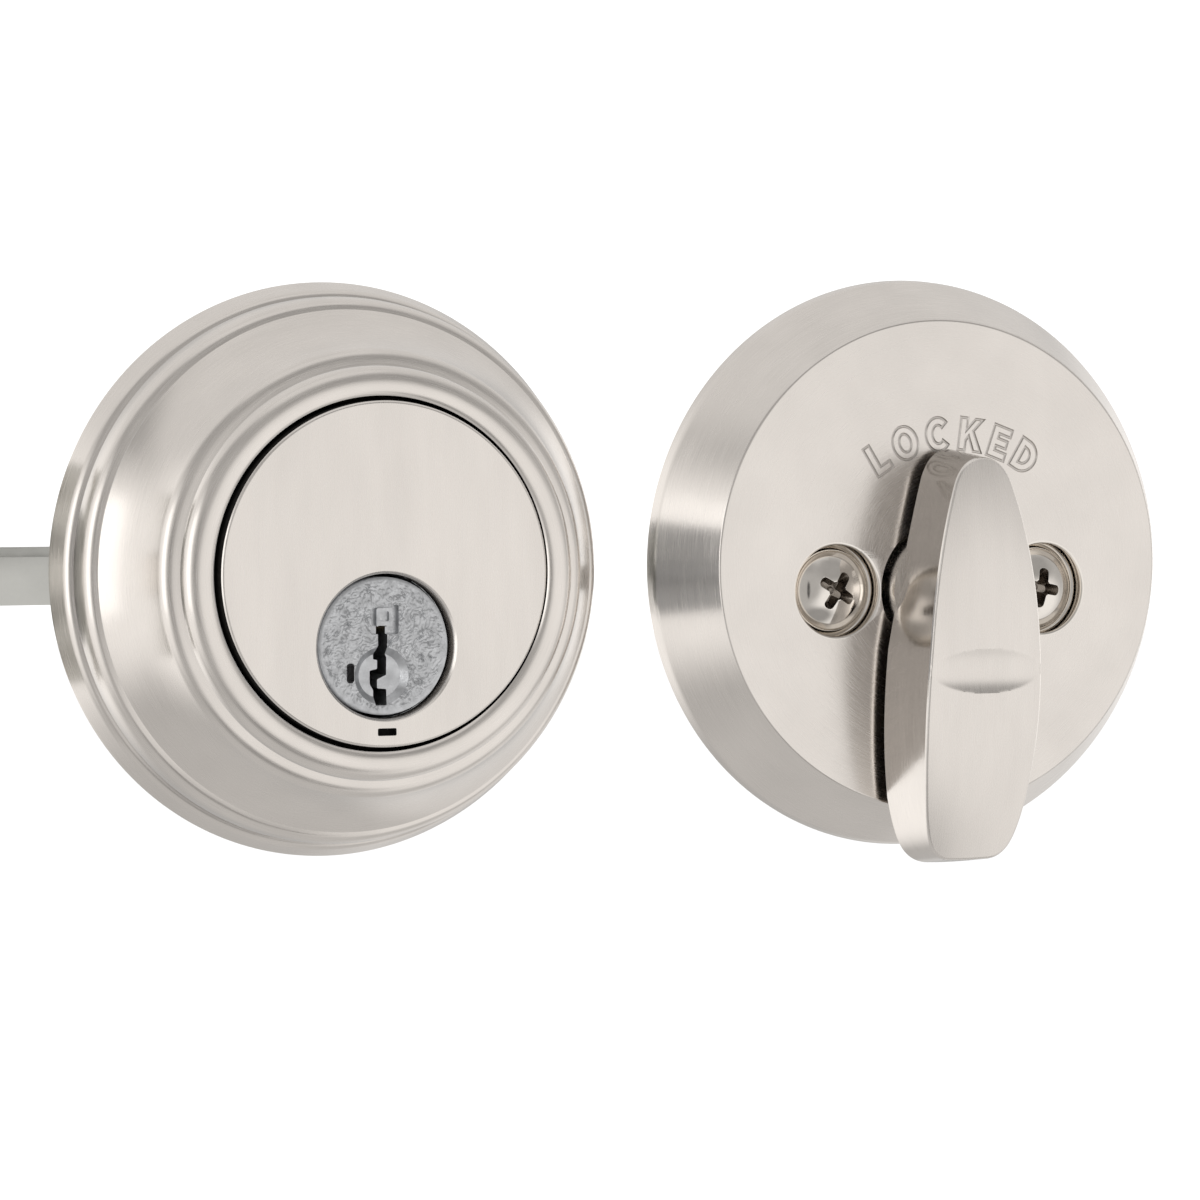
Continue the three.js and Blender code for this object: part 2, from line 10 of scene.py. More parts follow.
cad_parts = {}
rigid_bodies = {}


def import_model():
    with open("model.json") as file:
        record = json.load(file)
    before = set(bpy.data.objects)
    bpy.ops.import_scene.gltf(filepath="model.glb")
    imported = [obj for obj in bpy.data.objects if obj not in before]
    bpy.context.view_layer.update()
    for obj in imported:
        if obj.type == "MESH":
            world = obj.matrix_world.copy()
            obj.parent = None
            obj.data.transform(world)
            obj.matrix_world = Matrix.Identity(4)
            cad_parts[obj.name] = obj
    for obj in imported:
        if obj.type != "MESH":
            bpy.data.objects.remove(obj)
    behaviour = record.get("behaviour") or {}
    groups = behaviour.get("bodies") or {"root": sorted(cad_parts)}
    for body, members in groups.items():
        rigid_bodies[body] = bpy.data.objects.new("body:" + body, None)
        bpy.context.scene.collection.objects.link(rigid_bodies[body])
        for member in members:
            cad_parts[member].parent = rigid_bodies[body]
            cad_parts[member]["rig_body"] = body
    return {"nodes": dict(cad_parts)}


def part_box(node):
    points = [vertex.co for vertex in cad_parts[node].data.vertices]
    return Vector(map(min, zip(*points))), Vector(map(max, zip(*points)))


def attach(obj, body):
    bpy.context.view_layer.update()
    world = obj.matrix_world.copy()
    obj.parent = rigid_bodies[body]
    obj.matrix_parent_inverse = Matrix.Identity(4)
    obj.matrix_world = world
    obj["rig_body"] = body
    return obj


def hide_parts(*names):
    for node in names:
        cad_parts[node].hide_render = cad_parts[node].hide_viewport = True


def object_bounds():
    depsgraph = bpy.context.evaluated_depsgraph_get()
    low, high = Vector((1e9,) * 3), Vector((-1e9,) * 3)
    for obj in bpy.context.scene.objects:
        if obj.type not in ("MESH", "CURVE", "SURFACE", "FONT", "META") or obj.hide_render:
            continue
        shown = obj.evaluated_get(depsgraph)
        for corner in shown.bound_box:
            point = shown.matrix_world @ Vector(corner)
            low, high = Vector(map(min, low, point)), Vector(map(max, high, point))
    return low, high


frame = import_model()
CAD_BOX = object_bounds()

# ---- driving dimensions: millimetres, as in the frame's drawings --------------------------

MM = 0.001
FINE = 256          # sides of the large rounds that show from the front
MEDIUM = 128        # sides of the other rounds
SMALL = 64          # sides of screws and pins
EDGE = 0.15         # rounding of an ordinary edge

RIM_GAP = 0.5       # between the guard and the rose's lip
GUARD_WALL = 1.6
POST_X = 14.1       # each mounting screw stands this far from the turn's axis
BORE_RADIUS = 8.2   # hole in the guard for the plug
BORE_CHAMFER = 0.3
COVER_BEVEL = 5.1   # width of the slope round the cover's flat face
SEAT_RADIUS = 5.5   # of the cups for the mounting screws
TURN_HOLE = 8.0     # radius of the hole for the thumbturn's hub
HEAD_CURVE = 7.9    # radius of the mounting screws' domed heads
RECESS_LENGTH, RECESS_WIDTH = 5.3, 1.35
LETTERS = "LOCKED"
LETTER_HEIGHT = 3.95
LETTER_ARC = 17.0   # radius of the letters' base line
LETTER_STROKE = 0.92
LETTER_GAP = 0.28   # between letters, as a share of their height
GROOVE = 0.19       # radius of the cutter that runs round each letter
THREAD_PITCH = 0.79
WOOD_PITCH = 1.6
FLOW_LINES = 1.9    # ridges on the plug's face for each step of the noise that they follow
FLOW_HEIGHT = 0.12
FLOW_BASE = 0.09    # the relief stands this far behind the plug's highest place
SHARP = 35          # degrees between faces from which an edge is rounded
KEPT_EDGE = 0.1     # rounding of the nodes that keep the frame's shape
SMOOTH_BELOW = 32   # degrees between their faces up to which they are shaded as one

HANDLE_TOP, HANDLE_FOOT = 16.1, -32.4   # the front's reach above and below the turn's axis
SPINE_TOP, SPINE_FOOT = 12.0, -28.0     # the ends of its middle line
SUMMIT_Z, SUMMIT_HEIGHT = -5.0, 22.1    # where the bowed front stands highest off the door
DROP_ABOVE, DROP_BELOW = 1.6, 4.8       # how much lower its two ends are
CROWN, CROWN_AT = 0.55, 7.6             # its drop to the side, at this half width
HANDLE_BACK = 11.3
GRIP_Z, GRIP_RADIUS, GRIP_DEPTH = -9.4, 7.0, 0.54   # the groove for the thumb

# Each edge of the handle, on one side: an end and then a control point and an end for each curve.
FRONT_EDGE = [
    (0, 16.1), (2.6, 16.1), (3.85, 13), (6.8, 4.5), (7.45, -6.5), (8.1, -15.5), (7, -24),
    (6.4, -29), (5.3, -30.8), (4.3, -32.4), (2.4, -32.4), (1, -32.45), (0, -32.45),
]
BACK_EDGE = [
    (0, 17.05), (2.6, 17.05), (3.7, 13.6), (5.7, 6), (8.1, -7), (9.1, -17), (8.2, -25),
    (7.3, -30), (5.9, -31.6), (4.6, -33.1), (2.4, -33.1), (1, -33.15), (0, -33.15),
]
EDGE_STEPS = (18, 90, 80, 30, 16, 12)

KEYWAY = [
    (-0.7, 2.3), (0.4, 2.3), (0.4, -0.9), (0.6, -1.3), (0.6, -3.3), (-0.5, -3.8), (-0.5, -4.8),
    (0.6, -4.9), (0.6, -5.7), (0.3, -6.7), (-1, -6.7), (-1, -5), (-1.4, -4.3), (-1.4, -2.8),
    (-0.5, -2.6), (-0.5, -1.6), (-1, -1.5), (-1, -0.9), (-0.7, 0.1),
]

# ---- places read from the frame -----------------------------------------------------------


def span(node):
    """The node's lowest and highest corners, in millimetres."""
    low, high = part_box(node)
    return low / MM, high / MM


def middle(node):
    low, high = span(node)
    return (low + high) / 2


ROSE_LOW, ROSE_HIGH = span("rose")
ROSE_RADIUS = (ROSE_HIGH.x - ROSE_LOW.x) / 2
ROSE_Z = middle("rose").z
GUARD_LOW, GUARD_HIGH = span("cylinder_guard")
GUARD_RADIUS = (GUARD_HIGH.x - GUARD_LOW.x) / 2
GUARD_FACE = -GUARD_LOW.y
PLUG_LOW, PLUG_HIGH = span("key_plug")
PLUG_RADIUS = PLUG_HIGH.x
PLUG_FACE = -PLUG_LOW.y
COVER_LOW, COVER_HIGH = span("inside_cover")
COVER_RADIUS = (COVER_HIGH.x - COVER_LOW.x) / 2
COVER_X = middle("inside_cover").x
COVER_Z = middle("inside_cover").z
COVER_FACE = -COVER_LOW.y
TURN_Z = middle("mounting_screw_left").z
TURN_HIGH = span("thumbturn")[1]
FACE_LOW, FACE_HIGH = span("faceplate")
BOLT_LOW, BOLT_HIGH = span("bolt")
BOLT_Y = middle("bolt").y
BOLT_Z = middle("bolt").z
BOLT_RADIUS = (BOLT_HIGH.z - BOLT_LOW.z) / 2
BOLT_HALF = (BOLT_HIGH.y - BOLT_LOW.y) / 2
TUBE_LOW, TUBE_HIGH = span("bolt_tube")
FACE_SCREWS = ("face_screw_upper", "face_screw_lower")

# ---- outlines -----------------------------------------------------------------------------


def bend(start, control, end, steps=10):
    """Points along a quadratic curve, without its first."""
    a, b, c = Vector(start), Vector(control), Vector(end)
    found = []
    for i in range(1, steps + 1):
        t = i / steps
        found.append(tuple(a * (1 - t) ** 2 + b * (2 * t * (1 - t)) + c * t * t))
    return found


def arc(centre, radius, start, end, steps=16, squash=1.0):
    """Points on an arc between two angles in degrees."""
    found = []
    for i in range(steps + 1):
        angle = math.radians(start + (end - start) * i / steps)
        found.append((centre[0] + radius * math.cos(angle), centre[1] + radius * squash * math.sin(angle)))
    return found


def rounded(points, radius, steps=4):
    """The closed outline with each corner replaced by a short curve."""
    found = []
    count = len(points)
    for i, point in enumerate(points):
        corner = Vector(point)
        before = Vector(points[i - 1]) - corner
        after = Vector(points[(i + 1) % count]) - corner
        start = corner + before.normalized() * min(radius, 0.45 * before.length)
        end = corner + after.normalized() * min(radius, 0.45 * after.length)
        found.append(tuple(start))
        found.extend(bend(start, corner, end, steps))
    return found


def rectangle(u, v, width, height, radius, steps=10):
    u0, u1 = u - width / 2 + radius, u + width / 2 - radius
    v0, v1 = v - height / 2 + radius, v + height / 2 - radius
    corners = [((u1, v1), 0), ((u0, v1), 90), ((u0, v0), 180), ((u1, v0), 270)]
    return [p for centre, angle in corners for p in arc(centre, radius, angle, angle + 90, steps)]


# ---- solids -------------------------------------------------------------------------------


def place(axis, along, u, v):
    """A point from its place along an axis and its two others, in millimetres."""
    return {"X": (along, u, v), "Y": (u, along, v), "Z": (u, v, along)}[axis]


def build(name, vertices, faces, finish):
    mesh = bpy.data.meshes.new(name)
    mesh.from_pydata([Vector(v) * MM for v in vertices], [], faces)
    mesh.materials.append(MATERIALS[finish])
    bm = bmesh.new()
    bm.from_mesh(mesh)
    bmesh.ops.remove_doubles(bm, verts=bm.verts, dist=1e-7)
    bmesh.ops.recalc_face_normals(bm, faces=bm.faces)
    if bm.calc_volume(signed=True) < 0:
        bmesh.ops.reverse_faces(bm, faces=bm.faces)
    bm.to_mesh(mesh)
    bm.free()
    piece = bpy.data.objects.new(name, mesh)
    bpy.context.scene.collection.objects.link(piece)
    return piece


def loft(name, rings, finish, closed=False, capped=True):
    """A skin over rings with the same number of points. It closes on itself, or its two ends are capped."""
    count = len(rings[0])
    vertices = [point for ring in rings for point in ring]
    faces = []
    last = len(rings) if closed else len(rings) - 1
    for i in range(last):
        low, high = i * count, (i + 1) % len(rings) * count
        for k in range(count):
            n = (k + 1) % count
            faces.append((low + k, low + n, high + n, high + k))
    if capped and not closed:
        faces.append(tuple(range(count)))
        faces.append(tuple(range(len(vertices) - count, len(vertices))))
    return build(name, vertices, faces, finish)


def turned(name, profile, axis, centre, sides, finish):
    """A profile of (radius, place along the axis) turned about it. It ends on the axis or closes."""
    vertices = []
    rings = []
    for radius, along in profile:
        if radius < 1e-6:
            rings.append([len(vertices)])
            vertices.append(place(axis, along, *centre))
            continue
        rings.append(list(range(len(vertices), len(vertices) + sides)))
        for i in range(sides):
            angle = 2 * math.pi * i / sides
            u = centre[0] + radius * math.cos(angle)
            v = centre[1] + radius * math.sin(angle)
            vertices.append(place(axis, along, u, v))
    closes = len(rings[0]) > 1
    faces = []
    for i in range(len(rings) if closes else len(rings) - 1):
        low, high = rings[i], rings[(i + 1) % len(rings)]
        for k in range(sides):
            n = (k + 1) % sides
            corners = [low[k % len(low)], low[n % len(low)], high[n % len(high)], high[k % len(high)]]
            faces.append(tuple(dict.fromkeys(corners)))
    return build(name, vertices, [f for f in faces if len(f) > 2], finish)


def prism(name, outline, low, high, axis, finish):
    rings = [[place(axis, along, u, v) for u, v in outline] for along in (low, high)]
    return loft(name, rings, finish)


def block(name, low, high, finish):
    outline = [(low[0], low[2]), (high[0], low[2]), (high[0], high[2]), (low[0], high[2])]
    return prism(name, outline, low[1], high[1], "Y", finish)


def rod(radius, low, high):
    return [(0, low), (radius, low), (radius, high), (0, high)]


def off_door(profile):
    """A profile drawn as (radius, height off the door) becomes one in Y."""
    return [(radius, -height) for radius, height in profile]


def settle(piece):
    """Makes the modifiers' result the piece's own mesh."""
    shown = piece.evaluated_get(bpy.context.evaluated_depsgraph_get())
    mesh = bpy.data.meshes.new_from_object(shown)
    old = piece.data
    piece.modifiers.clear()
    piece.data = mesh
    bpy.data.meshes.remove(old)


def combine(piece, tools, operation):
    """Joins the tools to the piece or cuts them from it, and keeps each tool's finish on its cut."""
    for tool in tools:
        modifier = piece.modifiers.new("combine", "BOOLEAN")
        modifier.object = tool
        modifier.operation = operation
        modifier.solver = "EXACT"
        modifier.material_mode = "TRANSFER"
    settle(piece)
    for tool in tools:
        bpy.data.objects.remove(tool)
    return piece


def cut(piece, *tools):
    return combine(piece, tools, "DIFFERENCE")


def join(piece, *tools):
    return combine(piece, tools, "UNION")


def smooth(piece, angle, edge=0.0):
    """Rounds the sharp edges by "edge" millimetres and shades what lies between them as one surface."""
    if edge:
        bevel = piece.modifiers.new("edges", "BEVEL")
        bevel.width = edge * MM
        bevel.segments = 2
        bevel.limit_method = "ANGLE"
        bevel.angle_limit = math.radians(SHARP)
        bevel.use_clamp_overlap = True
        settle(piece)
    for polygon in piece.data.polygons:
        polygon.use_smooth = True
    piece.data.set_sharp_from_angle(angle=math.radians(angle))
    weigh = piece.modifiers.new("normals", "WEIGHTED_NORMAL")
    weigh.keep_sharp = True
    weigh.weight = 80
    return piece


def repaint(piece, finish, chosen):
    """Gives another finish to the faces whose middle and normal, in millimetres, the test picks."""
    piece.data.materials.append(MATERIALS[finish])
    slot = len(piece.data.materials) - 1
    for face in piece.data.polygons:
        if chosen(face.center / MM, face.normal):
            face.material_index = slot
    return piece


def unmirrored(piece):
    """Leaves the piece out of its neighbours' reflections, as if each half were photographed alone."""
    piece.visible_glossy = False
    return piece


def show(piece, node):
    """The piece stands for a node of the frame and moves with its body."""
    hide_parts(node)
    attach(piece, frame["nodes"][node]["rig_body"])
    return piece


# ---- finishes -----------------------------------------------------------------------------


class Nodes:
    """A node tree, with short ways to add to it."""

    def __init__(self, tree):
        self.nodes = tree.nodes
        self.links = tree.links

    def add(self, kind, inputs=None, **settings):
        """A new node; each of its inputs is given a value or another node's output."""
        node = self.nodes.new(kind)
        for key, value in settings.items():
            setattr(node, key, value)
        for name, value in (inputs or {}).items():
            if isinstance(value, bpy.types.NodeSocket):
                self.links.new(value, node.inputs[name])
            else:
                node.inputs[name].default_value = value
        return node

    def math(self, operation, *values):
        return self.add("ShaderNodeMath", dict(enumerate(values)), operation=operation).outputs[0]

    def vector(self, operation, *values, result="Vector"):
        node = self.add("ShaderNodeVectorMath", dict(enumerate(values)), operation=operation)
        return node.outputs[result]


class Finish(Nodes):
    """A metal or plastic surface: fine marks, a broad unevenness and a bump, all worked out in place."""

    def __init__(self, name, colour, roughness, metallic=1.0):
        self.material = bpy.data.materials.new(name)
        self.material.use_nodes = True
        super().__init__(self.material.node_tree)
        self.shader = self.nodes["Principled BSDF"]
        self.shader.inputs["Base Color"].default_value = (*colour, 1)
        self.shader.inputs["Roughness"].default_value = roughness
        self.shader.inputs["Metallic"].default_value = metallic
        self.colour = colour
        self.height = None
        self.point = self.add("ShaderNodeTexCoord").outputs["Object"]

    def straight(self, scales):
        """Coordinates in millimetres, drawn out along one direction."""
        return self.vector("MULTIPLY", self.point, tuple(s / MM for s in scales)), 0.0

    def circular(self, x, z, fine, along):
        """Coordinates drawn out along circles round an axis that runs into the door."""
        offset = self.vector("SUBTRACT", self.point, (x * MM, 0, z * MM))
        split = self.add("ShaderNodeSeparateXYZ", {0: offset}).outputs
        flat = self.add("ShaderNodeCombineXYZ", {"X": split["X"], "Y": split["Z"]}).outputs[0]
        unit = self.add("ShaderNodeSeparateXYZ", {0: self.vector("NORMALIZE", flat)}).outputs
        radius = self.math("MULTIPLY", self.vector("LENGTH", flat, result="Value"), fine / MM)
        depth = self.math("MULTIPLY", split["Y"], fine / MM)
        turn = self.add("ShaderNodeCombineXYZ", {
            "X": self.math("ADD", radius, depth),
            "Y": self.math("MULTIPLY", unit["X"], along),
            "Z": self.math("MULTIPLY", unit["Y"], along),
        })
        return turn.outputs[0], self.math("SUBTRACT", radius, depth)

    def noise(self, where, detail=3.0):
        vector, fourth = where
        inputs = {"Vector": vector, "W": fourth, "Scale": 1.0, "Detail": detail, "Roughness": 0.55}
        return self.add("ShaderNodeTexNoise", inputs, noise_dimensions="4D").outputs["Fac"]

    def spread(self, value, low, high):
        """Draws the middle of a noise's range out to the two values."""
        inputs = {"Value": value, "From Min": 0.3, "From Max": 0.7, "To Min": low, "To Max": high}
        return self.add("ShaderNodeMapRange", inputs).outputs["Result"]

    def tint(self, value, dark, light=1.0):
        """The base colour varies between two shares of itself."""
        mix = self.add("ShaderNodeMix", {
            "Factor": self.spread(value, 0.0, 1.0),
            6: (*(c * dark for c in self.colour), 1),
            7: (*(min(1, c * light) for c in self.colour), 1),
        }, data_type="RGBA")
        self.links.new(mix.outputs[2], self.shader.inputs["Base Color"])

    def rough(self, value, low, high):
        self.links.new(self.spread(value, low, high), self.shader.inputs["Roughness"])

    def bump(self, value, depth, strength=1.0):
        """Adds a relief of so many millimetres to the surface."""
        inputs = {"Height": value, "Distance": depth * MM, "Strength": strength}
        if self.height:
            inputs["Normal"] = self.height
        self.height = self.add("ShaderNodeBump", inputs).outputs["Normal"]
        self.links.new(self.height, self.shader.inputs["Normal"])


NICKEL = (0.76, 0.72, 0.68)
BRIGHT_NICKEL = (0.80, 0.76, 0.71)


def brushed(name, marks, clouds, roughness, shade=1.0):
    """Satin nickel: hairlines one way over a faint cloudiness."""
    finish = Finish(name, tuple(c * shade for c in NICKEL), roughness)
    lines = finish.noise(marks(finish), detail=4.0)
    cloud = finish.noise(clouds(finish), detail=2.0)
    both = finish.math("ADD", finish.math("MULTIPLY", lines, 0.6), finish.math("MULTIPLY", cloud, 0.4))
    finish.tint(both, 0.90, 1.06)
    finish.rough(lines, roughness - 0.06, roughness + 0.08)
    finish.bump(lines, 0.004, 0.5)
    finish.shader.inputs["Anisotropic"].default_value = 0.55
    return finish


def round_brushed(name, x, z, roughness, shade=1.0):
    """Brushed in circles about an axis into the door, as on a lathe."""
    finish = brushed(
        name,
        lambda f: f.circular(x, z, 9.0, 7.0),
        lambda f: f.straight((0.12, 0.12, 0.12)),
        roughness, shade)
    tangent = finish.add("ShaderNodeTangent", direction_type="RADIAL", axis="Y")
    finish.links.new(tangent.outputs[0], finish.shader.inputs["Tangent"])
    finish.shader.inputs["Anisotropic Rotation"].default_value = 0.25
    return finish.material


def line_brushed(name, roughness, scales=(11.0, 1.2, 0.22)):
    """Brushed straight up and down."""
    finish = brushed(
        name,
        lambda f: f.straight(scales),
        lambda f: f.straight((0.25, 0.12, 0.06)),
        roughness)
    turn = finish.add("ShaderNodeVectorTransform", {0: (1, 0, 0)}, vector_type="VECTOR",
                      convert_from="OBJECT", convert_to="WORLD")
    finish.links.new(turn.outputs[0], finish.shader.inputs["Tangent"])
    return finish.material


def polished(name, colour, roughness=0.07):
    """Bright plating with faint wipe marks."""
    finish = Finish(name, colour, roughness)
    haze = finish.noise(finish.straight((1.4, 1.4, 1.4)), detail=4.0)
    finish.rough(haze, roughness * 0.7, roughness * 1.7)
    finish.tint(haze, 0.96, 1.02)
    finish.bump(finish.noise(finish.straight((0.5, 0.5, 0.5)), detail=1.0), 0.004, 0.4)
    return finish.material


def cast(name, colour, roughness):
    """Bare die-cast metal: a fine skin of grains and flow marks."""
    finish = Finish(name, colour, roughness)
    grain = finish.noise(finish.straight((6.0, 6.0, 6.0)), detail=5.0)
    flow = finish.noise(finish.straight((0.9, 0.9, 0.9)), detail=3.0)
    finish.tint(flow, 0.78, 1.1)
    finish.rough(grain, roughness - 0.1, roughness + 0.16)
    finish.bump(flow, 0.03, 0.35)
    finish.bump(grain, 0.008, 0.6)
    return finish.material


def stamped(name, colour, roughness=0.34):
    """Plated sheet steel: rolling lines, a slight mottle and scuffs."""
    finish = Finish(name, colour, roughness)
    lines = finish.noise(finish.straight((0.5, 7.0, 7.0)), detail=4.0)
    mottle = finish.noise(finish.straight((0.35, 0.35, 0.35)), detail=4.0)
    finish.tint(mottle, 0.84, 1.06)
    finish.rough(mottle, roughness - 0.06, roughness + 0.14)
    finish.bump(lines, 0.003, 0.5)
    return finish.material


def machined(name, colour, roughness=0.26):
    """Turned bar: tight rings of tool marks."""
    finish = Finish(name, colour, roughness)
    rings = finish.noise(finish.straight((9.0, 9.0, 9.0)), detail=2.0)
    cloud = finish.noise(finish.straight((0.6, 0.6, 0.6)), detail=3.0)
    finish.tint(cloud, 0.86, 1.05)
    finish.rough(cloud, roughness - 0.05, roughness + 0.1)
    finish.bump(rings, 0.003, 0.5)
    return finish.material


def painted_black_shade(name):
    """Painted black shade for the narrow gap round the guard and the hollows seen through it: dull, with a
    faint mottle and no specular.
    """
    finish = Finish(name, (0.016, 0.015, 0.014), 0.9, 0.0)
    mottle = finish.noise(finish.straight((2.0, 2.0, 2.0)), detail=4.0)
    finish.tint(mottle, 0.6, 1.2)
    finish.rough(mottle, 0.8, 1.0)
    finish.bump(mottle, 0.01, 0.5)
    finish.shader.inputs["Specular IOR Level"].default_value = 0.0
    return finish.material


def moulded(name, colour, roughness=0.5):
    """Moulded nylon with a slight sheen and an even fine grain."""
    finish = Finish(name, colour, roughness, 0.0)
    grain = finish.noise(finish.straight((4.0, 4.0, 4.0)), detail=4.0)
    finish.tint(grain, 0.94, 1.0)
    finish.rough(grain, roughness - 0.08, roughness + 0.1)
    finish.bump(grain, 0.006, 0.5)
    finish.shader.inputs["Subsurface Weight"].default_value = 0.08
    return finish.material


MATERIALS = {
    "rose": round_brushed("satin_nickel_rose", 0, ROSE_Z, 0.22),
    "cover": round_brushed("satin_nickel_cover", COVER_X, COVER_Z, 0.22),
    "lines": line_brushed("satin_nickel_lines", 0.24),
    "bright": polished("polished_nickel", BRIGHT_NICKEL),
    "zinc": cast("cast_zinc", (0.57, 0.58, 0.595), 0.36),
    "steel": stamped("plated_steel", (0.62, 0.62, 0.59)),
    "hard": machined("hard_steel", (0.33, 0.33, 0.335)),
    "brass": machined("brass", (0.66, 0.47, 0.18)),
    "nylon": moulded("nylon", (0.78, 0.75, 0.67)),
    "side": line_brushed("satin_nickel_side", 0.15, (1.2, 11.0, 0.22)),
    # mark: the engraved grooves, in the cover's finish at 0.8 of its brightness and rougher.
    "mark": round_brushed("satin_nickel_mark", COVER_X, COVER_Z, 0.3, 0.8),
    # shade: painted shade, a dark brown for the guard's bore wall, the screws' recesses and the thumbturn's
    # back.
    "shade": cast("painted_recess_shade", (0.30, 0.265, 0.23), 0.24),
    # dark: painted black shade, for walls where only shade falls.
    "dark": painted_black_shade("painted_shade_wall"),
}

# ---- outside half -------------------------------------------------------------------------


def rose():
    """The moulded ring: a stepped foot, a hollow cone and a rounded collar."""
    r = ROSE_RADIUS
    lip = GUARD_RADIUS + RIM_GAP
    front = [(r, 0.2), (r - 0.1, 0.6), (r - 0.8, 2.4)]
    front += bend(front[-1], (r - 1.1, 3.4), (r - 1.7, 3.5), 8)
    front += [(r - 1.95, 3.62), (r - 1.8, 3.95)]
    front += bend(front[-1], (r - 1.75, 7.1), (r - 3.0, 7.55), 14)
    front += [(r - 3.5, 7.68), (r - 3.4, 8.15)]
    front += bend(front[-1], (r - 6.3, 11.2), (r - 7.9, 15.8), 24)
    front += bend(front[-1], (r - 8.2, 17.1), (r - 9.6, 17.2), 8)
    front += [(r - 10.15, 17.3), (r - 10.0, 17.6)]
    front += bend(front[-1], (r - 10.1, 19.3), (r - 11.8, 19.5), 12)
    front += bend(front[-1], (lip + 0.3, 19.6), (lip, 19.1), 6)
    back = [
        (lip, 18.0), (lip, 15), (22.8, 15), (24.0, 14.2), (25.6, 11), (28.3, 7.6),
        (29.8, 5.4), (30.3, 2.8), (31.0, 0), (r - 0.2, 0),
    ]
    piece = turned("rose_fine", off_door(front + back), "Y", (0, ROSE_Z), FINE, "rose")
    # The lip's inner wall and the faces behind it are painted black: painted shade in the gap round the
    # guard.
    repaint(piece, "dark", lambda p, n: -18.8 < p.y and math.hypot(p.x, p.z - ROSE_Z) < 22.5)
    show(unmirrored(smooth(piece, 22)), "rose")


def support_ring():
    """The ring that centres the rose in the door's hole."""
    inner = GUARD_RADIUS + 0.35
    profile = rounded([
        (inner, -1.6), (29.2, -1.6), (29.2, -0.4), (26.4, -0.4),
        (26.4, 5.5), (23.6, 5.5), (23.6, -0.4), (inner, -0.4),
    ], EDGE)
    piece = turned("rose_support_ring_fine", profile, "Y", (0, ROSE_Z), FINE, "steel")
    # Its inner part, seen through the gap round the guard, is painted black as shade.
    repaint(piece, "dark", lambda p, n: p.y < -0.8 and math.hypot(p.x, p.z - ROSE_Z) < 26)
    show(unmirrored(smooth(piece, 40)), "rose_support_ring")


def guard():
    """The cup with its flat brushed face, the plug's bore and the small slot; its sides and the slot are
    painted black and the bore's wall brown, as painted shade.
    """
    r, face = GUARD_RADIUS, GUARD_FACE
    inner = r - GUARD_WALL
    profile = off_door([
        (0, face), (r - 0.4, face), (r - 0.22, face - 0.07), (r - 0.07, face - 0.22), (r, face - 0.45),
        (r, 1.6), (r + 0.32, 1.5), (r + 0.32, 0.4), (inner, 0.4), (inner, 17.8), (0, 17.8),
    ])
    cup = turned("cylinder_guard_fine", profile, "Y", (0, ROSE_Z), FINE, "lines")
    # The cup's sides and back are painted black: painted shade in the gap round it.
    repaint(cup, "dark", lambda p, n: p.y > -face + 0.3)
    bore = turned("bore", off_door([
        (0, face + 1), (BORE_RADIUS + BORE_CHAMFER + 1, face + 1), (BORE_RADIUS + BORE_CHAMFER, face),
        (BORE_RADIUS + 0.08, face - 0.22), (BORE_RADIUS, face - 0.4), (BORE_RADIUS, 17), (0, 17),
    ]), "Y", (0, 0), FINE, "lines")
    # The bore's wall below its chamfer is painted brown as shade.
    repaint(bore, "shade", lambda p, n: p.y > -face + 0.4)
    slot_outline = rectangle(0, -9.65, 2.25, 0.85, 0.15, 4)
    # The slot is painted black as shade.
    slot = prism("slot", slot_outline, -face - 1, -face + 1, "Y", "dark")
    show(unmirrored(smooth(cut(cup, bore, slot), 30)), "cylinder_guard")


def flow_marks(x, z):
    """Height of the cast plug's flow marks: fine ridges that follow the level lines of a noise."""
    field = 3 * noise.noise(Vector((x * 0.5, z * 0.5, 3.7)))
    field += 0.4 * noise.noise(Vector((x * 2.3, z * 2.3, 1.2)))
    ridge = 0.5 + 0.5 * math.cos(2 * math.pi * FLOW_LINES * field)
    share = 0.35 + 1.3 * abs(noise.noise(Vector((x * 0.8, z * 0.8, 9.1))))
    return FLOW_HEIGHT * ridge * ridge * min(1.0, share)


def plug_front():
    """The plug's body with a relief on its face, before anything is cut into it."""
    spacing = 0.1
    radii = [spacing * i for i in range(1, int((PLUG_RADIUS - 0.3) / spacing) + 1)]
    sides = 384
    edge = [(PLUG_RADIUS - 0.22, -PLUG_FACE + FLOW_BASE), (PLUG_RADIUS - 0.06, -PLUG_FACE + 0.16),
            (PLUG_RADIUS, -PLUG_FACE + 0.35), (PLUG_RADIUS, 5.6), (5.2, 5.6), (5.2, 8.6)]
    vertices = [(0, -PLUG_FACE, 0)]
    for radius, along in [(radius, None) for radius in radii] + edge:
        for i in range(sides):
            angle = 2 * math.pi * i / sides
            x, z = radius * math.cos(angle), radius * math.sin(angle)
            level = along
            if level is None:
                fade = max(0.0, min(1.0, (PLUG_RADIUS - 0.35 - radius) / 0.3))
                level = -PLUG_FACE + FLOW_BASE - flow_marks(x, z) * fade
            vertices.append((x, level, z))
    rings = len(radii) + len(edge)
    faces = []
    for k in range(sides):
        n = (k + 1) % sides
        faces.append((0, 1 + k, 1 + n))
        for i in range(rings - 1):
            low, high = 1 + i * sides, 1 + (i + 1) * sides
            faces.append((low + k, high + k, high + n, low + n))
    faces.append(tuple(1 + (rings - 1) * sides + i for i in range(sides)))
    return build("key_plug_fine", vertices, faces, "zinc")


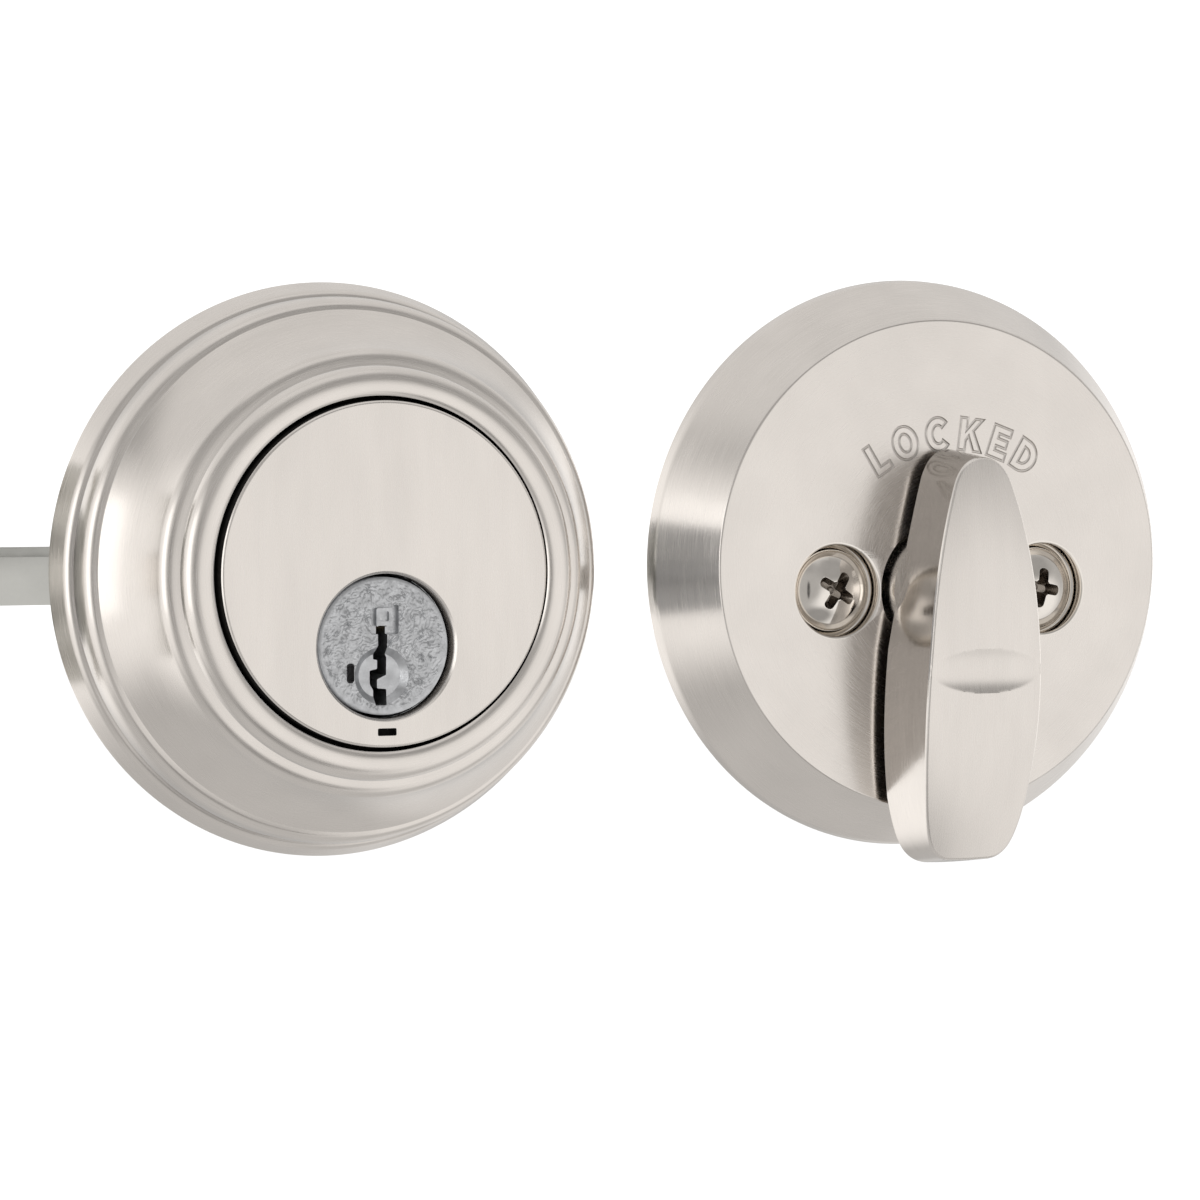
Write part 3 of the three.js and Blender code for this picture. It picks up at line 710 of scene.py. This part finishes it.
def plug():
    """The plug, with its keyway, key guide, dish and re-key slot, and the notch at its back."""
    face = -PLUG_FACE
    body = plug_front()
    dish = turned("dish", [
        (0, face - 1), (3.3, face - 1), (3.25, face + 0.1), (2.5, face + 0.85), (0, face + 0.95),
    ], "Y", (-0.25, -3.35), MEDIUM, "zinc")
    pocket = prism("pocket", rectangle(0.15, 3.0, 3.3, 3.3, 0.25, 4), face - 1, face + 0.75, "Y", "zinc")
    island = prism("island", rectangle(0.1, 3.25, 1.9, 2.1, 0.2, 4), face + 0.12, face + 1.5, "Y", "zinc")
    groove = prism("groove", rectangle(0.1, 3.35, 1.1, 1.1, 0.15, 4), face - 0.2, face + 0.45, "Y", "zinc")
    keyway = prism("keyway", rounded(KEYWAY, 0.12, 3), face - 1, 4.5, "Y", "zinc")
    rekey_outline = rectangle(-4.0, -3.0, 0.9, 2.2, 0.35, 6)
    rekey = prism("rekey", rekey_outline, face - 1, face + 3.6, "Y", "hard")
    dog = block("dog", (-6, 7.6, -1), (6, 9, 1), "zinc")
    cut(body, dish, pocket)
    join(body, island)
    cut(body, groove, keyway, rekey, dog)
    show(smooth(body, 34), "key_plug")


# ---- screws -------------------------------------------------------------------------------


def thread(centre, axis, start, end, crest, root, pitch):
    """A threaded shank: the radius rises and falls along a helix, and fades out at both ends."""
    sides = 48
    per_turn = 10
    count = max(2, int(abs(end - start) / pitch * per_turn))
    rings = []
    for j in range(count + 1):
        share = j / count
        along = start + (end - start) * share
        fade = min(1.0, share * count / per_turn, (1 - share) * count / per_turn)
        ring = []
        for i in range(sides):
            phase = (j / per_turn + i / sides) % 1.0
            ridge = max(0.0, 1 - abs(phase - 0.5) / 0.42)
            radius = root + (crest - root) * ridge * fade
            angle = 2 * math.pi * i / sides
            u = centre[0] + radius * math.cos(angle)
            v = centre[1] + radius * math.sin(angle)
            ring.append(place(axis, along, u, v))
        rings.append(ring)
    return loft("shank", rings, "bright")


def cross_arm(axis, top, depth, centre, angle, length, width):
    """One bar of a driver's recess: round-ended, and narrower at the bottom."""
    rings = []
    for share in (-0.4, 0.0, 1.0):
        narrowing = max(0.0, share)
        long = length * (1 - 0.42 * narrowing)
        wide = width * (1 - 0.35 * narrowing)
        ring = []
        for u, v in rectangle(0, 0, long, wide, wide * 0.42, 6):
            turned_u = u * math.cos(angle) - v * math.sin(angle)
            turned_v = u * math.sin(angle) + v * math.cos(angle)
            ring.append(place(axis, top + depth * share, centre[0] + turned_u, centre[1] + turned_v))
        rings.append(ring)
    return loft("arm", rings, "shade")


def recess(axis, top, depth, centre, angle, length=RECESS_LENGTH, width=RECESS_WIDTH):
    """A cross recess: two bars and the cone in the middle."""
    # Its bars and cone take the shade finish: painted shade inside the recess.
    first = cross_arm(axis, top, depth, centre, angle, length, width)
    second = cross_arm(axis, top, depth, centre, angle + math.pi / 2, length, width)
    middle_cone = [(0, top - depth * 0.4), (width * 0.95, top - depth * 0.4), (width * 0.85, top),
                   (width * 0.35, top + depth), (0, top + depth * 1.2)]
    cone = turned("cone", middle_cone, axis, centre, 32, "shade")
    return join(first, second, cone)


def mounting_screw(node, angle):
    """A long machine screw with a low polished dome for a head."""
    low, high = span(node)
    x = (low.x + high.x) / 2
    radius = (high.x - low.x) / 2
    top = low.y
    reach = math.degrees(math.asin((radius - 0.25) / HEAD_CURVE))
    dome = arc((0, top + HEAD_CURVE), HEAD_CURVE, -90, -90 + reach, 20)
    edge = dome[-1][1]
    rim = bend(dome[-1], (radius, edge + 0.2), (radius, edge + 0.7), 5)
    profile = dome + rim + [(radius - 0.15, edge + 0.85), (2.0, -6.4), (2.0, -3.5), (0, -3.5)]
    head = turned(node + "_fine", profile, "Y", (x, TURN_Z), MEDIUM, "bright")
    shank = thread((x, TURN_Z), "Y", -4.5, high.y, 2.4, 2.0, THREAD_PITCH)
    piece = cut(join(head, shank), recess("Y", top, 2.1, (x, TURN_Z), angle))
    show(smooth(piece, 34, 0.06), node)


def face_screw(node):
    """A flat-head wood screw in the door's edge."""
    low, high = span(node)
    centre = (BOLT_Y, (low.z + high.z) / 2)
    radius = (high.z - low.z) / 2
    start, tip = low.x, high.x
    profile = [
        (0, start), (radius - 0.1, start), (radius, start + 0.12), (1.9, start + 2.1), (1.9, start + 5),
        (0, start + 5),
    ]
    head = turned(node + "_fine", profile, "X", centre, MEDIUM, "bright")
    shank = thread(centre, "X", start + 4.2, tip - 3, 1.9, 1.25, WOOD_PITCH)
    point = turned("point", [(0, tip - 3.6), (1.2, tip - 3.6), (0, tip)], "X", centre, 48, "bright")
    piece = cut(join(head, shank, point), recess("X", start, 1.9, centre, 0.3, 4.2, 1.0))
    show(smooth(piece, 34, 0.04), node)


# ---- bolt ---------------------------------------------------------------------------------


def bolt_bar(name, low, high, spare, nose=0.0):
    """A round bar along X with two flats, its front edge rounded."""
    radius, half = BOLT_RADIUS + spare, BOLT_HALF + spare
    angle = math.degrees(math.acos(half / radius))
    outline = arc((0, 0), radius, angle, 180 - angle, 40)
    outline += arc((0, 0), radius, 180 + angle, 360 - angle, 40)
    steps = [(low, nose)]
    if nose:
        steps += [(low + nose * 0.3, nose * 0.3), (low + nose, 0.0)]
    steps.append((high, 0.0))
    rings = []
    for along, drawn_in in steps:
        scale = 1 - drawn_in / radius
        rings.append([(along, BOLT_Y + u * scale, BOLT_Z + v * scale) for u, v in outline])
    return loft(name, rings, "lines")


def bolt():
    """The bolt, with the slot for its tail, the bore for the saw-stop pin and the rivet's hole."""
    low, high = BOLT_LOW.x, BOLT_HIGH.x
    bar = bolt_bar("bolt_fine", low, high, 0, 1.0)
    slot = block("slot", (-54, BOLT_Y - 1.8, 2.6), (high + 1, BOLT_Y + 1.8, 11), "steel")
    bore = turned("bore", rod(3.6, low + 3.8, -53.5), "X", (BOLT_Y, BOLT_Z), SMALL, "steel")
    hole = turned("hole", rod(1.8, 10, 34), "Y", (middle("tail_rivet").x, BOLT_Z), SMALL, "steel")
    show(smooth(cut(bar, slot, bore, hole), 30, 0.12), "bolt")


def faceplate():
    low, high = FACE_LOW, FACE_HIGH
    outline = rectangle(BOLT_Y, BOLT_Z, high.y - low.y, high.z - low.z, 3.2)
    plate = prism("faceplate_fine", outline, low.x, high.x, "X", "lines")
    hole = bolt_bar("hole", low.x - 2, high.x + 2, 0.4)
    sink = [
        (0, low.x - 1), (5.4, low.x - 1), (4.4, low.x), (2.25, high.x + 0.1), (2.25, high.x + 1),
        (0, high.x + 1),
    ]
    sinks = []
    for node in FACE_SCREWS:
        sinks.append(turned("sink", sink, "X", (BOLT_Y, middle(node).z), MEDIUM, "bright"))
    show(smooth(cut(plate, hole, *sinks), 30, 0.18), "faceplate")


def bolt_tube():
    low, high = TUBE_LOW, TUBE_HIGH
    outline = rectangle(BOLT_Y, BOLT_Z, high.y - low.y, high.z - low.z, 3)
    flange = prism("bolt_tube_fine", outline, low.x, low.x + 1.3, "X", "steel")
    axis = (BOLT_Y, BOLT_Z)
    barrel = turned("barrel", rod(12.25, low.x + 0.7, high.x), "X", axis, MEDIUM, "steel")
    bore = turned("bore", rod(11, low.x - 3, high.x + 2), "X", axis, MEDIUM, "steel")
    holes = [
        turned("hole", rod(2.4, low.x - 3, low.x + 4), "X", (BOLT_Y, middle(node).z), SMALL, "steel")
        for node in FACE_SCREWS
    ]
    show(smooth(cut(join(flange, barrel), bore, *holes), 30, 0.14), "bolt_tube")


# ---- inside half --------------------------------------------------------------------------


def letter_outlines(letter):
    """The closed outlines of one letter, one unit tall, and its width."""
    s = LETTER_STROKE / LETTER_HEIGHT
    if letter == "L":
        w = 0.6
        return w, [[(0, 0), (w, 0), (w, s), (s, s), (s, 1), (0, 1)]]
    if letter == "E":
        w = 0.64
        mid = (1 - s) / 2
        return w, [[
            (0, 0), (w, 0), (w, s), (s, s), (s, mid), (w - 0.05, mid), (w - 0.05, mid + s),
            (s, mid + s), (s, 1 - s), (w, 1 - s), (w, 1), (0, 1),
        ]]
    if letter == "K":
        w = 0.8
        return w, [[
            (0, 0), (s, 0), (s, 0.3), (0.33, 0.45), (0.54, 0), (w, 0), (0.47, 0.62), (w - 0.03, 1),
            (0.52, 1), (s, 0.62), (s, 1), (0, 1),
        ]]
    if letter == "D":
        w = 0.76
        bow = w - 0.28
        outer = [(0, 0), (0.28, 0)] + arc((0.28, 0.5), bow, -85, 85, 16, 0.5 / bow) + [(0.28, 1), (0, 1)]
        r = bow - s
        inner = [(s, s)] + arc((0.27, 0.5), r, -68, 68, 12, (0.5 - s) / r) + [(s, 1 - s)]
        return w, [outer, inner]
    w = 0.86
    r = w / 2
    centre = (r, 0.5)
    tall = 0.52 / r
    inner_r = r - s
    inner_tall = (0.52 - s) / inner_r
    if letter == "O":
        return w, [arc(centre, r, 0, 352, 44, tall), arc(centre, inner_r, 0, 350, 35, inner_tall)]
    outer = arc(centre, r, 42, 318, 34, tall)
    inner = arc(centre, inner_r, 318, 42, 28, inner_tall)
    return w, [outer + inner]


def groove_round(outline):
    """A thin round cutter that follows a closed outline in the cover's flat face."""
    count = len(outline)
    points = [Vector(p) for p in outline]
    rings = []
    for i, point in enumerate(points):
        before = (point - points[i - 1]).normalized()
        after = (points[(i + 1) % count] - point).normalized()
        along = (before + after).normalized()
        side = Vector((along.y, -along.x))
        stretch = 1 / max(0.35, side.dot(Vector((before.y, -before.x))))
        ring = []
        for k in range(8):
            angle = 2 * math.pi * (k + 0.5) / 8
            flat = point + side * (GROOVE * math.cos(angle) * stretch)
            ring.append((flat.x, GROOVE * math.sin(angle) - COVER_FACE, flat.y))
        rings.append(ring)
    return loft("groove", rings, "mark", closed=True)


def engraving():
    """Cutters for the word round the top of the cover."""
    widths = [letter_outlines(letter)[0] for letter in LETTERS]
    total = sum(widths) + LETTER_GAP * (len(LETTERS) - 1)
    centre = Vector((COVER_X + 1.6, TURN_Z))
    start = -total / 2
    cutters = []
    for letter, width in zip(LETTERS, widths):
        lean = -(start + width / 2) * LETTER_HEIGHT / (LETTER_ARC + LETTER_HEIGHT * 0.35)
        up = Vector((-math.sin(lean), math.cos(lean)))
        right = Vector((up.y, -up.x))
        for outline in letter_outlines(letter)[1]:
            placed = []
            for u, v in outline:
                rise = LETTER_ARC + v * LETTER_HEIGHT
                shift = (u - width / 2) * LETTER_HEIGHT
                placed.append(tuple(centre + up * rise + right * shift))
            cutters.append(groove_round(placed))
        start += width + LETTER_GAP
    return cutters


def cover():
    """The bevelled cover with its screw seats, the turn's hole and the engraved word."""
    r, face = COVER_RADIUS, COVER_FACE
    flat = r - COVER_BEVEL
    profile = [(0, face), (flat - 0.25, face), (flat - 0.08, face - 0.03), (flat + 0.1, face - 0.16)]
    profile += [(r - 0.42, 2.2), (r - 0.22, 1.75), (r - 0.1, 1.2), (r, 0.15), (r - 0.12, 0)]
    profile += [(32.4, 0), (32.2, 1.8), (28.7, 8.2), (0, 8.2)]
    shell = turned("inside_cover_fine", off_door(profile), "Y", (COVER_X, COVER_Z), FINE, "cover")
    screws = [COVER_X - POST_X, COVER_X + POST_X]
    cup = rod(SEAT_RADIUS + 1.4, -face + 1, -5)
    cups = [turned("cup", cup, "Y", (x, TURN_Z), MEDIUM, "cover") for x in screws]
    rim = SEAT_RADIUS
    seat = off_door([
        (0, face + 1), (rim + 1.1, face + 1), (rim + 0.35, face), (rim + 0.1, face - 0.12), (rim, face - 0.4),
        (rim, 8), (2.8, 6.2), (2.8, 4), (0, 4),
    ])
    seats = [turned("seat", seat, "Y", (x, TURN_Z), MEDIUM, "bright") for x in screws]
    rim = TURN_HOLE
    hole = off_door([
        (0, face + 1), (rim + 0.7, face + 1), (rim + 0.2, face), (rim + 0.05, face - 0.1), (rim, face - 0.3),
        (rim, 7), (0, 7),
    ])
    turn_hole = turned("turn_hole", hole, "Y", (COVER_X, TURN_Z), MEDIUM, "bright")
    join(shell, *cups)
    cut(shell, turn_hole, *seats, *engraving())
    show(smooth(shell, 30), "inside_cover")


def turn_edge(points):
    """The closed outline, clockwise from the top, that the curves on one side draw with their mirror."""
    half = [points[0]]
    for i, steps in enumerate(EDGE_STEPS):
        half += bend(half[-1], points[2 * i + 1], points[2 * i + 2], steps)
    return [Vector(point) for point in half + [(-x, z) for x, z in reversed(half[1:-1])]]


def inset(points, distance):
    """The clockwise outline moved inwards along its normals."""
    found = []
    for i, point in enumerate(points):
        along = (points[(i + 1) % len(points)] - points[i - 1]).normalized()
        found.append(point + Vector((along.y, -along.x)) * distance)
    return found


def front_height(x, z):
    """How far the handle's bowed and crowned front stands off the door, with the thumb's groove in it."""
    if z > SUMMIT_Z:
        bow = SUMMIT_HEIGHT - DROP_ABOVE * ((z - SUMMIT_Z) / (HANDLE_TOP - SUMMIT_Z)) ** 2
    else:
        bow = SUMMIT_HEIGHT - DROP_BELOW * ((z - SUMMIT_Z) / (HANDLE_FOOT - SUMMIT_Z)) ** 2
    front = bow - CROWN * (x / CROWN_AT) ** 2
    offset = abs(z - GRIP_Z)
    if offset >= GRIP_RADIUS:
        return front
    groove = bow - GRIP_DEPTH + GRIP_RADIUS - math.sqrt(GRIP_RADIUS ** 2 - offset ** 2)
    return min(front, groove)


def handle():
    """The handle's solid: rings run from the middle line of its front, over the edge, to its back's."""
    front_edge = turn_edge(FRONT_EDGE)
    back_edge = turn_edge(BACK_EDGE)
    rings = []

    def ring(edge, share, height, drop=0.0):
        """A ring a share of the way from the middle line to the edge; no height means the front's."""
        found = []
        for point in edge:
            line = Vector((0, max(SPINE_FOOT, min(SPINE_TOP, point.y))))
            x, z = line.lerp(point, share)
            off = front_height(x, z) if height is None else height
            found.append((COVER_X + x, drop - off, TURN_Z + z))
        rings.append(found)

    steps = 24
    for i in range(steps + 1):
        ring(inset(front_edge, 0.3), i / steps, None)
    for distance, drop in ((0.2, 0.04), (0.09, 0.13), (0.0, 0.32)):
        ring(inset(front_edge, distance), 1.0, None, drop)
    for distance, height in ((0.0, HANDLE_BACK + 0.4), (0.12, HANDLE_BACK + 0.1), (0.3, HANDLE_BACK)):
        ring(inset(back_edge, distance), 1.0, height)
    ring(inset(back_edge, 0.3), 0.0, HANDLE_BACK)
    return loft("thumbturn_fine", rings, "lines", capped=False)


def thumbturn():
    centre = (COVER_X, TURN_Z)
    body = handle()
    repaint(body, "side", lambda p, n: abs(n.y) < 0.5)
    # The back, which faces the cover, is painted as shade, so that the cover mirrors a dark shadow beside the
    # handle.
    repaint(body, "shade", lambda p, n: n.y > 0.7)
    hub = turned("hub", rod(7.6, -HANDLE_BACK - 1, -7.9), "Y", centre, MEDIUM, "lines")
    shaft = turned("shaft", rod(5, -9, TURN_HIGH.y), "Y", centre, MEDIUM, "lines")
    low, high = (COVER_X - 1.5, -7, TURN_Z - 3.4), (COVER_X + 1.5, 4, TURN_Z + 3.4)
    socket = block("socket", low, high, "zinc")
    join(body, hub, shaft)
    cut(body, socket)
    show(smooth(body, 16), "thumbturn")


# ---- nodes that keep the frame's shape ----------------------------------------------------

KEPT = {
    "zinc": ["cylinder_housing"],
    "steel": ["tailpiece_cap", "tailpiece", "bolt_tail", "drive_hub", "case_plate_front", "case_plate_rear",
              "backing_plate"],
    "hard": ["plug_clip", "saw_stop_pin", "tail_rivet", "hub_detent_leaf", "turn_washer", "turn_clip"]
    + [f"case_rivet_{i}" for i in range(1, 5)] + [f"pin_spring_{i}" for i in range(1, 6)],
    "brass": ["spring_cover"] + [f"{kind}_pin_{i}" for kind in ("key", "driver") for i in range(1, 6)],
    "nylon": ["turn_bushing"],
}


def shading_group():
    """Shades faces smooth except across edges sharper than SMOOTH_BELOW."""
    group = bpy.data.node_groups.new("smooth_by_angle", "GeometryNodeTree")
    group.interface.new_socket("Geometry", in_out="INPUT", socket_type="NodeSocketGeometry")
    group.interface.new_socket("Geometry", in_out="OUTPUT", socket_type="NodeSocketGeometry")
    start = group.nodes.new("NodeGroupInput")
    end = group.nodes.new("NodeGroupOutput")
    angle = group.nodes.new("GeometryNodeInputMeshEdgeAngle")
    small = group.nodes.new("FunctionNodeCompare")
    small.operation = "LESS_EQUAL"
    small.inputs["B"].default_value = math.radians(SMOOTH_BELOW)
    faces = group.nodes.new("GeometryNodeSetShadeSmooth")
    edges = group.nodes.new("GeometryNodeSetShadeSmooth")
    edges.domain = "EDGE"
    group.links.new(start.outputs[0], faces.inputs["Geometry"])
    group.links.new(faces.outputs[0], edges.inputs["Geometry"])
    group.links.new(angle.outputs["Unsigned Angle"], small.inputs["A"])
    group.links.new(small.outputs[0], edges.inputs["Shade Smooth"])
    group.links.new(edges.outputs[0], end.inputs[0])
    return group


def keep_nodes():
    group = shading_group()
    for finish, nodes in KEPT.items():
        for node in nodes:
            piece = frame["nodes"][node]
            piece.data.materials.clear()
            piece.data.materials.append(MATERIALS[finish])
            weld = piece.modifiers.new("weld", "WELD")
            weld.merge_threshold = 0.002 * MM
            bevel = piece.modifiers.new("edges", "BEVEL")
            bevel.width = KEPT_EDGE * MM
            bevel.segments = 2
            bevel.limit_method = "ANGLE"
            bevel.angle_limit = math.radians(40)
            smooth_by_angle = piece.modifiers.new("smooth", "NODES")
            smooth_by_angle.node_group = group


# ---- studio -------------------------------------------------------------------------------

CAMERA_DISTANCE = 0.5142
CAMERA_TURN = -23.64
CAMERA_DOWN = 2.0
LENS = 128.4
AIM_OFFSET = Vector((-3.0, 0, -4.05)) * MM
FLOOR_DROP = 0.16


def camera():
    data = bpy.data.cameras.new("camera")
    data.lens = LENS
    data.sensor_width = 36
    data.clip_start = 0.01
    data.clip_end = 20
    eye = bpy.data.objects.new("camera", data)
    bpy.context.scene.collection.objects.link(eye)
    turn, down = math.radians(CAMERA_TURN), math.radians(CAMERA_DOWN)
    ahead = Vector((-math.sin(turn) * math.cos(down), math.cos(turn) * math.cos(down), -math.sin(down)))
    target = Vector((COVER_X / 2, 0, ROSE_Z)) * MM + AIM_OFFSET
    eye.location = target - ahead * CAMERA_DISTANCE
    eye.rotation_euler = (math.radians(90) - down, 0, turn)
    bpy.context.scene.camera = eye


def heading(turn, rise):
    """The direction "turn" degrees right of straight out from the door and "rise" degrees up."""
    turn, rise = math.radians(turn), math.radians(rise)
    return Vector((math.sin(turn) * math.cos(rise), -math.cos(turn) * math.cos(rise), math.sin(rise)))


# Patches of the surround that the metal mirrors, each painted over the ones before: turn and rise of
# its middle, its half width and half height in degrees, how soft its edge is, and its brightness.
BETWEEN = 0.52
PATCHES = [
    (0, 90, 42, 42, 0.3, 0.74),
    (140, 45, 36, 30, 0.3, 0.78),
    (-140, 50, 36, 26, 0.3, 0.80),
    (0, -90, 48, 48, 0.3, 0.64),
    (28, -21, 40, 35, 0.3, 1.04),
    (24, 34, 28, 20, 0.4, 0.4),
    (-5, -45, 24, 14, 0.4, 0.36),
    (-50, 42, 34, 14, 0.4, 0.44),
    (112, -3, 30, 22, 0.3, 1.35),
    (122, -32, 30, 20, 0.3, 0.85),
    (-135, -3, 40, 32, 0.3, 1.22),
    (-85, -2, 34, 32, 0.3, 1.12),
    (-25, 2, 17, 20, 0.4, 0.5),
    (-27, 0, 2.5, 15, 0.3, 0.1),
]


def patch(tree, direction, turn, rise, half_width, half_height, softness):
    """1 inside the patch, easing to 0 outside it."""
    out = heading(turn, rise)
    up = heading(turn, rise + 90)
    width, height = math.sin(math.radians(half_width)), math.sin(math.radians(half_height))
    parts = tree.add("ShaderNodeCombineXYZ", {
        "X": tree.vector("DOT_PRODUCT", direction, out.cross(up) / width, result="Value"),
        "Y": tree.vector("DOT_PRODUCT", direction, up / height, result="Value"),
    })
    ease = tree.add("ShaderNodeMapRange", {
        "Value": tree.vector("LENGTH", parts.outputs[0], result="Value"),
        "From Min": 1 + softness,
        "From Max": 1 - softness,
    }, interpolation_type="SMOOTHSTEP")
    ahead = tree.vector("DOT_PRODUCT", direction, out, result="Value")
    return tree.math("MULTIPLY", ease.outputs["Result"], tree.math("GREATER_THAN", ahead, 0))


def world():
    """A white room where it is seen; in reflections it shows soft patches of light instead."""
    studio = bpy.data.worlds.new("studio")
    bpy.context.scene.world = studio
    studio.use_nodes = True
    tree = Nodes(studio.node_tree)
    direction = tree.add("ShaderNodeTexCoord").outputs["Generated"]
    level = BETWEEN
    for *place_and_size, brightness in PATCHES:
        inputs = {0: patch(tree, direction, *place_and_size), 2: level, 3: brightness}
        level = tree.add("ShaderNodeMix", inputs, data_type="FLOAT").outputs[0]
    mirrored = tree.nodes["Background"]
    mirrored.inputs["Color"].default_value = (1, 0.985, 0.97, 1)
    tree.links.new(level, mirrored.inputs["Strength"])
    seen = tree.add("ShaderNodeBackground", {"Color": (1, 1, 1, 1), "Strength": 1.2})
    path = tree.add("ShaderNodeLightPath")
    shown = tree.add("ShaderNodeMixShader", {
        0: path.outputs["Is Glossy Ray"], 1: seen.outputs[0], 2: mirrored.outputs[0],
    })
    tree.links.new(shown.outputs[0], tree.nodes["World Output"].inputs["Surface"])


def softbox(name, turn, rise, distance, width, height, power):
    """A soft rectangle of light, "turn" degrees right of straight ahead and "rise" degrees up."""
    data = bpy.data.lights.new(name, "AREA")
    data.shape = "RECTANGLE"
    data.size = width
    data.size_y = height
    data.energy = power
    light = bpy.data.objects.new(name, data)
    bpy.context.scene.collection.objects.link(light)
    aim = Vector((COVER_X / 2, 0, ROSE_Z)) * MM
    light.location = aim + heading(turn, rise) * distance
    light.rotation_euler = (aim - light.location).to_track_quat("-Z", "Y").to_euler()


def floor():
    """A pale matt floor, well below the lock, which hangs in the air as it does without its door."""
    level = CAD_BOX[0][2] - FLOOR_DROP
    side = 4.0
    corners = [(-side, -side), (side, -side), (side, side), (-side, side)]
    mesh = bpy.data.meshes.new("floor")
    mesh.from_pydata([(x, y, level) for x, y in corners], [], [(0, 1, 2, 3)])
    piece = bpy.data.objects.new("floor", mesh)
    bpy.context.scene.collection.objects.link(piece)
    piece.visible_glossy = False
    finish = Finish("pale_floor", (0.9, 0.9, 0.9), 0.8, 0.0)
    finish.tint(finish.noise(finish.straight((0.004, 0.004, 0.004))), 0.985, 1.0)
    mesh.materials.append(finish.material)


def studio():
    scene = bpy.context.scene
    scene.view_settings.view_transform = "Standard"
    scene.view_settings.look = "None"
    world()
    floor()
    softbox("key_left", -75, 4, 1.3, 0.8, 0.8, 1.2)
    softbox("top", -5, 70, 1.3, 1.0, 0.8, 0.2)


camera()
rose()
support_ring()
guard()
plug()
for screw, turn_angle in (("mounting_screw_left", -0.56), ("mounting_screw_right", -0.17)):
    mounting_screw(screw, turn_angle)
for screw in FACE_SCREWS:
    face_screw(screw)
bolt()
faceplate()
bolt_tube()
cover()
thumbturn()
keep_nodes()
studio()
